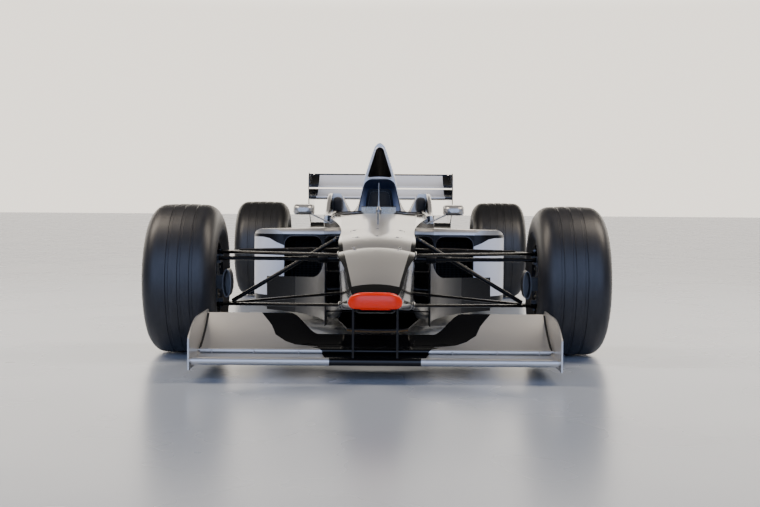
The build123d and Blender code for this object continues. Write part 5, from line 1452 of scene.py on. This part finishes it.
class RACER_OT_rear_end(bpy.types.Operator):
    """Fit the rear wing strip, gearbox ribs, bolts, driveshaft gaiters and lamp cells"""

    bl_idname = "racer.rear_end"
    bl_label = "Rear details"

    def execute(self, context):
        black = gloss_black("black_lacquered_rear_strip")
        steel = satin_metal("zinc_plated_casing_bolts", "#9b9a96", 1.0, 0.3)
        casting = satin_metal("ribbed_cast_magnesium", "#5b5c5e", 0.9, 0.45)
        rubber = moulded_rubber("pleated_gaiter_rubber")
        lens = moulded_plastic("moulded_red_lamp_cells", "#8e0808", 0.16)
        strip, bolts, ribs = Shape(), Shape(), Shape()
        flap, ends, gearbox = Surface("rear_wing_flap"), Surface("rear_wing_endplates"), Surface("gearbox")
        flap_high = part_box("rear_wing_flap")[1]
        y_strip = flap_high[1] - 0.003
        hits = flap.trace(straight((-0.49, y_strip, 1.2), (0.49, y_strip, 1.2), 40), (0, 0, -1))
        strip.ribbon([p for p, _ in hits], [Vector((0, -0.35, 1)) for _ in hits], 0.0025, 0.009)
        strip.make("rear_wing_edge_strip", black, "chassis", "black_paint")
        for side in (LEFT, RIGHT):
            for y, z in (
                (1.80, 0.70), (1.92, 0.735), (2.02, 0.765), (2.09, 0.80), (2.19, 0.84),
                (2.05, 0.478), (2.15, 0.50),
            ):
                point, normal = ends.hit((side * 1.2, y, z), (-side, 0, 0))
                bolts.disc(point, normal, 0.007, 0.0018, 20)
                bolts.bolt(point + normal * 0.001, normal, 0.0032, 0.003)
            for z, y_start, y_stop in ((0.30, 1.33, 1.95), (0.20, 1.33, 1.60), (0.335, 1.33, 1.90)):
                starts = straight((side * 0.6, y_start, z), (side * 0.6, y_stop, z), 20)
                ribs.lay(gearbox.trace(starts, (-side, 0, 0)), 0.002, 0.007, 0.010)
            for y in (1.40, 1.55, 1.68, 1.86):
                starts = straight((side * 0.6, y, 0.24), (side * 0.6, y, 0.35), 10)
                ribs.lay(gearbox.trace(starts, (-side, 0, 0)), 0.002, 0.006, 0.009)
        for index in range(22):
            angle = 2 * math.pi * (index + 0.5) / 22
            out = Vector((math.cos(angle), 0, math.sin(angle)))
            point, normal = gearbox.hit(Vector((0, 1.322, 0.24)) + out * 0.5, -out)
            bolts.bolt(point, normal, 0.0052, 0.006)
        bolts.make("rear_casing_bolts", steel, "chassis", "steel")
        ribs.make("gearbox_ribs", casting, "chassis", "magnesium")
        for side, side_name in SIDES:
            gaiter = Shape()
            pleat = 0.0065
            profile = [(0.0, 0.0)]
            for step in range(17):
                profile.append((pleat * step / 2, 0.043 - 0.0011 * step + (0.003 if step % 2 else 0.0)))
            profile.append((pleat * 17 / 2, 0.0))
            gaiter.spin(profile, (side * 0.160, rear_axle, wheel_height), (side, 0, 0), 40)
            gaiter.make(f"driveshaft_gaiter_{side_name}", rubber, f"rear_{side_name}_wheel", "tyre_rubber")
        lamp = Shape()
        low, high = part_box("rain_light")
        for row in range(4):
            for column in range(5):
                spot = (
                    low[0] + (column + 0.5) * (high[0] - low[0]) / 5, high[1],
                    low[2] + (row + 0.5) * (high[2] - low[2]) / 4,
                )
                lamp.disc(spot, (0, 1, 0), 0.0052, 0.0022, 16)
        lamp.make("rain_light_cells", lens, "chassis", "red_lens")
        return {"FINISHED"}


class RACER_OT_floor_details(bpy.types.Operator):
    """Fit the skid blocks and floor fasteners"""

    bl_idname = "racer.floor_details"
    bl_label = "Floor details"

    def execute(self, context):
        metal = satin_metal("ground_titanium_skid", "#8a857d", 1.0, 0.38)
        steel = satin_metal("countersunk_floor_screws", "#9b9a96", 1.0, 0.3)
        gap = matt_void("floor_screw_slots")
        skids, studs, slots = Shape(), Shape(), Shape()
        low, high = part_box("plank")
        for share in (0.12, 0.36, 0.62, 0.9):
            y = low[1] + (high[1] - low[1]) * share
            for x in (-0.1, 0.1):
                skids.disc((x, y, low[2] + 0.0005), (0, 0, -1), 0.024, 0.0016, 32)
                skids.disc((x, y, low[2] - 0.0008), (0, 0, -1), 0.008, 0.0012, 16)
        floor = Surface("floor")
        for side in (LEFT, RIGHT):
            for y in (0.2, 0.45, 0.7, 0.95, 1.2):
                fasten(studs, slots, *floor.top(side * 0.685, y, 0.25), 0.006)
        skids.make("plank_skids", metal, "chassis", "steel")
        studs.make("floor_screws", steel, "chassis", "steel")
        slots.make("floor_screw_slots", gap, "chassis", "steel")
        return {"FINISHED"}


# Cockpit

def padded_loft(name, outlines, cloth, body, slot, swell, voxel=0.005):
    """Loft a pad through closed outlines, remesh it, blow it up a little as cloth and keep that shape.

    No point moves farther than swell.
    """
    shape = Shape()
    shape.skin([point for outline in outlines for point in outline], len(outlines), len(outlines[0]))
    pad = shape.make(name, cloth, body, slot, 180.0)
    remesh = pad.modifiers.new("remesh", "REMESH")
    remesh.mode, remesh.voxel_size = "VOXEL", voxel
    keep_modifiers(pad)
    start = [vertex.co.copy() for vertex in pad.data.vertices]
    cloth_sim = pad.modifiers.new("cloth", "CLOTH")
    cloth_sim.settings.quality = 4
    cloth_sim.settings.use_pressure = True
    cloth_sim.settings.uniform_pressure_force = 4.0
    cloth_sim.settings.effector_weights.gravity = 0.0
    cloth_sim.point_cache.frame_start, cloth_sim.point_cache.frame_end = 1, 20
    for moment in range(1, 21):
        bpy.context.scene.frame_set(moment)
    keep_modifiers(pad)
    for vertex, old in zip(pad.data.vertices, start):
        move = vertex.co - old
        if move.length > swell:
            vertex.co = old + move * (swell / move.length)
    bpy.context.scene.frame_set(1)
    smooth = pad.modifiers.new("smooth", "SMOOTH")
    smooth.factor, smooth.iterations = 0.5, 6
    pad.modifiers.new("subdivide", "SUBSURF").levels = 1
    keep_modifiers(pad)
    pad.data.shade_smooth()
    return pad


def keep_modifiers(piece):
    """Turn what the piece's modifiers show into its own mesh."""
    shown = piece.evaluated_get(bpy.context.evaluated_depsgraph_get())
    mesh = bpy.data.meshes.new_from_object(shown)
    piece.modifiers.clear()
    piece.data = mesh


def pad_outlines(axis, stops, corners, inset):
    """Outlines of a rounded block: (place along the axis, how far in from the corners) for each stop."""
    centre = sum((Vector(corner[:2]) for corner in corners), Vector((0, 0))) / len(corners)
    outlines = []
    for place_along, share in stops:
        shrunk = []
        for a, b, radius in corners:
            away = Vector((a, b)) - centre
            a_in = a - math.copysign(inset * share, away.x)
            b_in = b - math.copysign(inset * share, away.y)
            shrunk.append((a_in, b_in, radius))
        loop = rounded_loop(shrunk, 6)
        outlines.append([Vector((a, place_along, b) if axis == "y" else (place_along, a, b)) for a, b in loop])
    return outlines


class RACER_OT_padding(bpy.types.Operator):
    """Sew the headrest, the head-side pads and the seat pads"""

    bl_idname = "racer.padding"
    bl_label = "Padding"

    def execute(self, context):
        swell = context.scene.racer_trim.padding_swell
        cloth = woven_cover("woven_aramid_cover", "#151517")
        thread = woven_cover("twisted_black_thread", "#26262a", 2 * MM)
        stops = ((0.273, 1.0), (0.2775, 0.35), (0.284, 0.0), (0.297, 0.0), (0.3035, 0.35), (0.307, 1.0))
        corners = [(-0.071, 0.606, 0.020), (0.071, 0.606, 0.020), (0.055, 0.729, 0.024), (-0.055, 0.729, 0.024)]
        outlines = pad_outlines("y", stops, corners, 0.010)
        pads = [padded_loft("headrest_pad", outlines, cloth, "chassis", "foam_cover", swell * 0.6)]
        inner, outer, top = 0.207, 0.2575, 0.694
        corners = [(0.040, 0.606, 0.016), (0.224, 0.606, 0.016), (0.224, top, 0.020), (0.040, top, 0.020)]
        stops = (
            (inner, 1.0), (inner + 0.004, 0.4), (inner + 0.011, 0.0),
            (outer - 0.011, 0.0), (outer - 0.004, 0.4), (outer, 1.0),
        )
        for side, side_name in SIDES:
            outlines = pad_outlines("x", [(side * x, share) for x, share in stops], corners, 0.010)
            name = f"head_side_pad_{side_name}"
            pads.append(padded_loft(name, outlines, cloth, "chassis", "foam_cover", swell * 0.5))
        for pad in pads:
            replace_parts(pad, "headrest")
        self.seat_pads(cloth, thread, swell)
        return {"FINISHED"}

    def seat_pads(self, cloth, thread, swell):
        """Two quilted pads on the seat shell, each following its slope."""
        seat = Surface("seat")
        for name, y_start, y_stop, half, rows in (
            ("seat_back_pad", 0.0, 0.150, 0.118, 8), ("seat_base_pad", -0.150, -0.052, 0.118, 5),
        ):
            stations = []
            for row in range(rows):
                y = y_start + (y_stop - y_start) * row / (rows - 1)
                edge = 0.62 if row in (0, rows - 1) else 1.0
                point, normal = seat.hit((0.0, y, 0.9), (0, 0, -1))
                wide, top = half * (0.96 if edge < 1 else 1), 0.003 + 0.018 * edge
                corners = [
                    (-wide, 0.003, 0.006), (wide, 0.003, 0.006), (wide, top, 0.0052), (-wide, top, 0.0052),
                ]
                stations.append([point + Vector((a, 0, 0)) + normal * b for a, b in rounded_loop(corners, 4)])
            pad = padded_loft(name, stations, cloth, "chassis", "foam_cover", swell * 0.7, 0.0065)
            seams = Shape()
            faces = [tuple(polygon.vertices) for polygon in pad.data.polygons]
            surface = BVHTree.FromPolygons([vertex.co for vertex in pad.data.vertices], faces)
            for x in (-0.06, 0.0, 0.06):
                path, normals = [], []
                for row in range(25):
                    y = y_start + (y_stop - y_start) * (0.06 + 0.88 * row / 24)
                    point, normal, _, _ = surface.ray_cast(Vector((x, y, 0.9)), Vector((0, 0, -1)))
                    if point is not None:
                        path.append(point - normal * 0.0006)
                        normals.append(normal)
                seams.ribbon(path, normals, 0.0026, 0.0014)
            seams.make(f"{name}_stitching", thread, "chassis", "foam_cover")


class RACER_OT_cockpit(bpy.types.Operator):
    """Fit the cockpit edging, the screen's edge and the mirror glass"""

    bl_idname = "racer.cockpit"
    bl_label = "Cockpit trim"

    def execute(self, context):
        seal = moulded_rubber("moulded_cockpit_edging")
        tub = Surface("monocoque")
        outline = rounded_loop(
            [(-0.177, -0.427, 0.045), (0.177, -0.427, 0.045), (0.219, -0.160, 0.045), (0.219, 0.112, 0.045),
             (0.178, 0.236, 0.045), (-0.178, 0.236, 0.045), (-0.219, 0.112, 0.045), (-0.219, -0.160, 0.045)], 6
        )
        dense = []
        for index, point in enumerate(outline):
            following = outline[(index + 1) % len(outline)]
            steps = max(1, round((following - point).length / 0.02))
            dense.extend(point.lerp(following, step / steps) for step in range(steps))
        edging = Shape()
        path = []
        for x, y in dense:
            point, _ = tub.top(x, y, 0.64)
            path.append(point + Vector((0, 0, 0.001)))
        edging.sweep(path, circle(0.0075, 12, 0.75), closed=True)
        edging.make("cockpit_edging", seal, "chassis", "foam_cover")
        self.screen_edge(seal)
        self.mirrors()
        return {"FINISHED"}

    def screen_edge(self, seal):
        """Rubber bead along the top of the screen."""
        screen = Surface("windscreen")
        low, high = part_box("windscreen")
        bead = Shape()
        path = []
        for step in range(41):
            x = low[0] + 0.0015 + (high[0] - low[0] - 0.003) * step / 40
            # a line from in front finds the upper edge
            point, _ = screen.hit((x, low[1] - 0.3, high[2] - 0.004), (0, 1, 0))
            path.append(screen.top(x, point.y + 0.0012)[0])
        bead.tube(path, 0.0019, 8)
        bead.make("screen_edge_bead", seal, "chassis", "foam_cover")

    def mirrors(self):
        """Silvered glass in a black bezel on the rear of each mirror."""
        glass, bezel_finish = silvered_glass(), moulded_plastic("moulded_mirror_bezel", "#111113", 0.35)
        housing = Surface("mirrors")
        for side, side_name in SIDES:
            centre, _ = housing.hit((side * 0.387, 0.2, 0.630), (0, -1, 0))
            corners = ((-0.049, -0.0235), (0.049, -0.0235), (0.049, 0.0235), (-0.049, 0.0235))
            outline = rounded_loop([(a, b, 0.016) for a, b in corners], 6)
            rings = []
            for share, out in ((1.0, 0.0002), (0.97, 0.0016), (0.6, 0.0022), (0.0, 0.0024)):
                rings.extend(centre + Vector((a * share, out, b * share)) for a, b in outline)
            pane = Shape()
            pane.add(rings, grid_faces(4, len(outline), close_columns=True))
            pane.make(f"mirror_glass_{side_name}", glass, "chassis", "clear_screen")
            bezel = Shape()
            path = [centre + Vector((a * 1.02, 0.0008, b * 1.03)) for a, b in outline]
            bezel.tube(path, 0.0018, 8, closed=True)
            bezel.make(f"mirror_bezel_{side_name}", bezel_finish, "chassis", "black_paint")


class RACER_OT_harness(bpy.types.Operator):
    """Lay the six-point harness in the seat"""

    bl_idname = "racer.harness"
    bl_label = "Harness"

    def execute(self, context):
        width = context.scene.racer_trim.belt_width
        webbing = nylon_webbing()
        metal = satin_metal("black_anodised_adjusters", "#2b2c2f", 0.9, 0.3)
        steel = satin_metal("stamped_belt_tongues", "#a3a5a8", 1.0, 0.28)
        seat = Surface("seat")

        def lay(x, y, lift):
            """A point over the seat shell, lifted to the belt's height, and the shell's normal there."""
            point, normal = seat.hit((x, y, 0.9), (0, 0, -1))
            return point + normal * lift, normal

        buckle, buckle_normal = lay(0.0, -0.015, 0.036)
        belts, hardware, tongues = Shape(), Shape(), Shape()
        for side in (LEFT, RIGHT):
            # each belt's run as x, y and height over the seat, from its root to the buckle
            for name, span, stops in (
                ("shoulder", width, (
                    (0.070, 0.170, 0.030), (0.062, 0.120, 0.031), (0.054, 0.060, 0.032), (0.042, 0.022, 0.034),
                    (0.030, -0.002, 0.036),
                )),
                ("lap", width * 0.68, (
                    (0.128, -0.016, 0.012), (0.110, -0.024, 0.028), (0.075, -0.030, 0.032),
                    (0.035, -0.022, 0.035),
                )),
                ("crotch", width * 0.42, (
                    (0.018, -0.110, 0.031), (0.016, -0.080, 0.032), (0.012, -0.048, 0.034),
                )),
            ):
                hits = [lay(side * x, y, lift) for x, y, lift in stops]
                path = smooth_path([point for point, _ in hits], 6)
                normals = [normal.normalized() for normal in smooth_path([normal for _, normal in hits], 6)]
                belts.ribbon(path, normals, span, 0.0022)
                half = len(path) // 2
                spot, normal = path[half], normals[half]
                along = (path[half + 1] - path[half - 1]).normalized()
                across = along.cross(normal).normalized()
                turn = Matrix((across, along, normal)).transposed()
                if name != "crotch":
                    for reach in (-0.010, 0.0, 0.010):
                        place = spot + along * reach + normal * 0.003
                        hardware.block(place, (span + 0.010, 0.0045, 0.0042), 0.0012, turn)
                    for edge in (-1, 1):
                        place = spot + across * edge * (span / 2 + 0.004) + normal * 0.0026
                        hardware.block(place, (0.0045, 0.026, 0.005), 0.0012, turn)
                end, normal = path[-1], normals[-1]
                along = (end - path[-3]).normalized()
                turn = Matrix((along.cross(normal).normalized(), along, normal)).transposed()
                place = end - along * 0.004 + normal * 0.0012
                tongues.block(place, (span * 0.8, 0.024, 0.0028), 0.0012, turn)
        face = [
            (-0.006, 0.030), (0.006, 0.030), (0.010, 0.0275), (0.0105, 0.020), (0.0085, 0.018), (0.0085, 0.012),
            (0.011, 0.010), (0.011, 0.0),
        ]
        hardware.spin(face, buckle, buckle_normal, 40)
        facing = buckle_normal.to_track_quat("Z", "Y").to_matrix()
        for angle in range(0, 360, 60):
            turn = facing @ Matrix.Rotation(math.radians(angle), 3, "Z")
            place = buckle + buckle_normal * 0.0105 + turn @ Vector((0.014, 0, 0))
            hardware.block(place, (0.010, 0.003, 0.002), 0.0007, turn)
        belts.make("harness_belts", webbing, "chassis", "foam_cover")
        hardware.make("harness_buckle_and_adjusters", metal, "chassis", "steel")
        tongues.make("harness_tongues", steel, "chassis", "steel")
        return {"FINISHED"}


class RACER_OT_steering_wheel(bpy.types.Operator):
    """Fit grips, switches, a display and paddles to the steering wheel"""

    bl_idname = "racer.steering_wheel"
    bl_label = "Steering wheel details"

    def execute(self, context):
        grip_finish = suede("brushed_suede_grips", "#121214")
        switch = moulded_plastic("moulded_switch_caps", "#2c2d30", 0.35)
        bright = moulded_plastic("moulded_coloured_switch_caps", "#b3261a", 0.3)
        screen = moulded_plastic("moulded_display_window", "#06090c", 0.08)
        carbon = woven_carbon("pressed_carbon_paddles")
        steel = satin_metal("turned_column_hub", "#8f9194", 1.0, 0.28)
        wheel = Surface("steering_wheel")
        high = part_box("steering_wheel")[1]
        # the rim is 22 mm thick, and the column runs forwards from it
        front = high[1] - 0.022
        centre = Vector((0.0, high[1] - 0.011, middle("steering_wheel").z))
        grips, caps, reds, window, paddles, hub = Shape(), Shape(), Shape(), Shape(), Shape(), Shape()
        for side in (LEFT, RIGHT):
            bends = ((0.112, -0.062), (0.1195, -0.035), (0.121, 0.0), (0.1195, 0.035), (0.112, 0.062))
            path = smooth_path([(side * x, centre.y, centre.z + z) for x, z in bends], 8)
            grips.sweep(path, circle(0.0158, 20, 0.86), (0, 1, 0))
            paddles.block((side * 0.078, front - 0.010, centre.z + 0.012), (0.062, 0.0035, 0.036), 0.0016)
            paddles.block((side * 0.040, front - 0.006, centre.z + 0.006), (0.030, 0.010, 0.014), 0.002)
            for x, z, radius, marked in (
                (0.051, 0.038, 0.0065, side == LEFT), (0.051, 0.012, 0.0065, False),
                (0.051, -0.012, 0.006, False), (0.051, -0.036, 0.006, side == RIGHT),
            ):
                point, normal = wheel.hit((side * x, high[1] + 0.2, centre.z + z), (0, -1, 0))
                knob = [
                    (-0.001, radius * 1.3), (0.002, radius * 1.3), (0.002, radius), (0.0065, radius * 0.92),
                    (0.0075, radius * 0.7), (0.0075, 0.0),
                ]
                (reds if marked else caps).spin(knob, point, normal, 24)
        for x in (-0.026, 0.0, 0.026):
            point, normal = wheel.hit((x, high[1] + 0.2, centre.z - 0.030), (0, -1, 0))
            dial = [(-0.001, 0.0095), (0.003, 0.009), (0.009, 0.0078), (0.010, 0.006), (0.010, 0.0)]
            caps.spin(dial, point, normal, 12)
            caps.block(point + normal * 0.0102, (0.0022, 0.0012, 0.013), 0.0005)
        point, _ = wheel.hit((0.0, high[1] + 0.2, centre.z + 0.036), (0, -1, 0))
        window.block(point + Vector((0, 0.001, 0)), (0.074, 0.005, 0.028), 0.0018)
        for index in range(7):
            caps.disc(point + Vector(((index - 3) * 0.010, 0.0006, 0.0195)), (0, 1, 0), 0.0024, 0.0018, 10)
        profile = [
            (-0.002, 0.034), (0.006, 0.034), (0.008, 0.026), (0.018, 0.026), (0.020, 0.019), (0.034, 0.019),
            (0.034, 0.0),
        ]
        hub.spin(profile, (0.0, front, centre.z), (0, -1, 0), 32)
        for name, shape, finish in (
            ("grips", grips, grip_finish), ("switches", caps, switch), ("marked_switches", reds, bright),
            ("display", window, screen), ("paddles", paddles, carbon), ("hub", hub, steel),
        ):
            shape.make(f"steering_wheel_{name}", finish, "steering_wheel", "grip")
        return {"FINISHED"}


class RACER_PT_panel(bpy.types.Panel):
    """Lists the car's operators and sizes"""

    bl_label = "Racing Car"
    bl_idname = "RACER_PT_panel"
    bl_space_type = "VIEW_3D"
    bl_region_type = "UI"
    bl_category = "Racing Car"

    def draw(self, context):
        for operator in OPERATORS:
            self.layout.operator(operator.bl_idname)
        for group in GROUPS:
            settings = getattr(context.scene, group)
            for name in settings.__annotations__:
                self.layout.prop(settings, name)


OPERATORS = (
    RACER_OT_stage, RACER_OT_paint, RACER_OT_tyres, RACER_OT_wheels, RACER_OT_brakes, RACER_OT_suspension,
    RACER_OT_seams, RACER_OT_airbox, RACER_OT_sidepods, RACER_OT_front_wing, RACER_OT_rear_end,
    RACER_OT_floor_details, RACER_OT_padding, RACER_OT_cockpit, RACER_OT_harness, RACER_OT_steering_wheel,
)
GROUPS = {"racer_paint": RacerPaint, "racer_tyres": RacerTyres, "racer_trim": RacerTrim}


def register():
    for cls in (*GROUPS.values(), *OPERATORS, RACER_PT_panel):
        bpy.utils.register_class(cls)
    for name, group in GROUPS.items():
        setattr(bpy.types.Scene, name, PointerProperty(type=group))


def unregister():
    for name in GROUPS:
        delattr(bpy.types.Scene, name)
    for cls in reversed((*GROUPS.values(), *OPERATORS, RACER_PT_panel)):
        bpy.utils.unregister_class(cls)


def main():
    register()
    for operator in OPERATORS:
        getattr(bpy.ops.racer, operator.bl_idname.split(".")[1])()


if __name__ == "__main__":
    main()
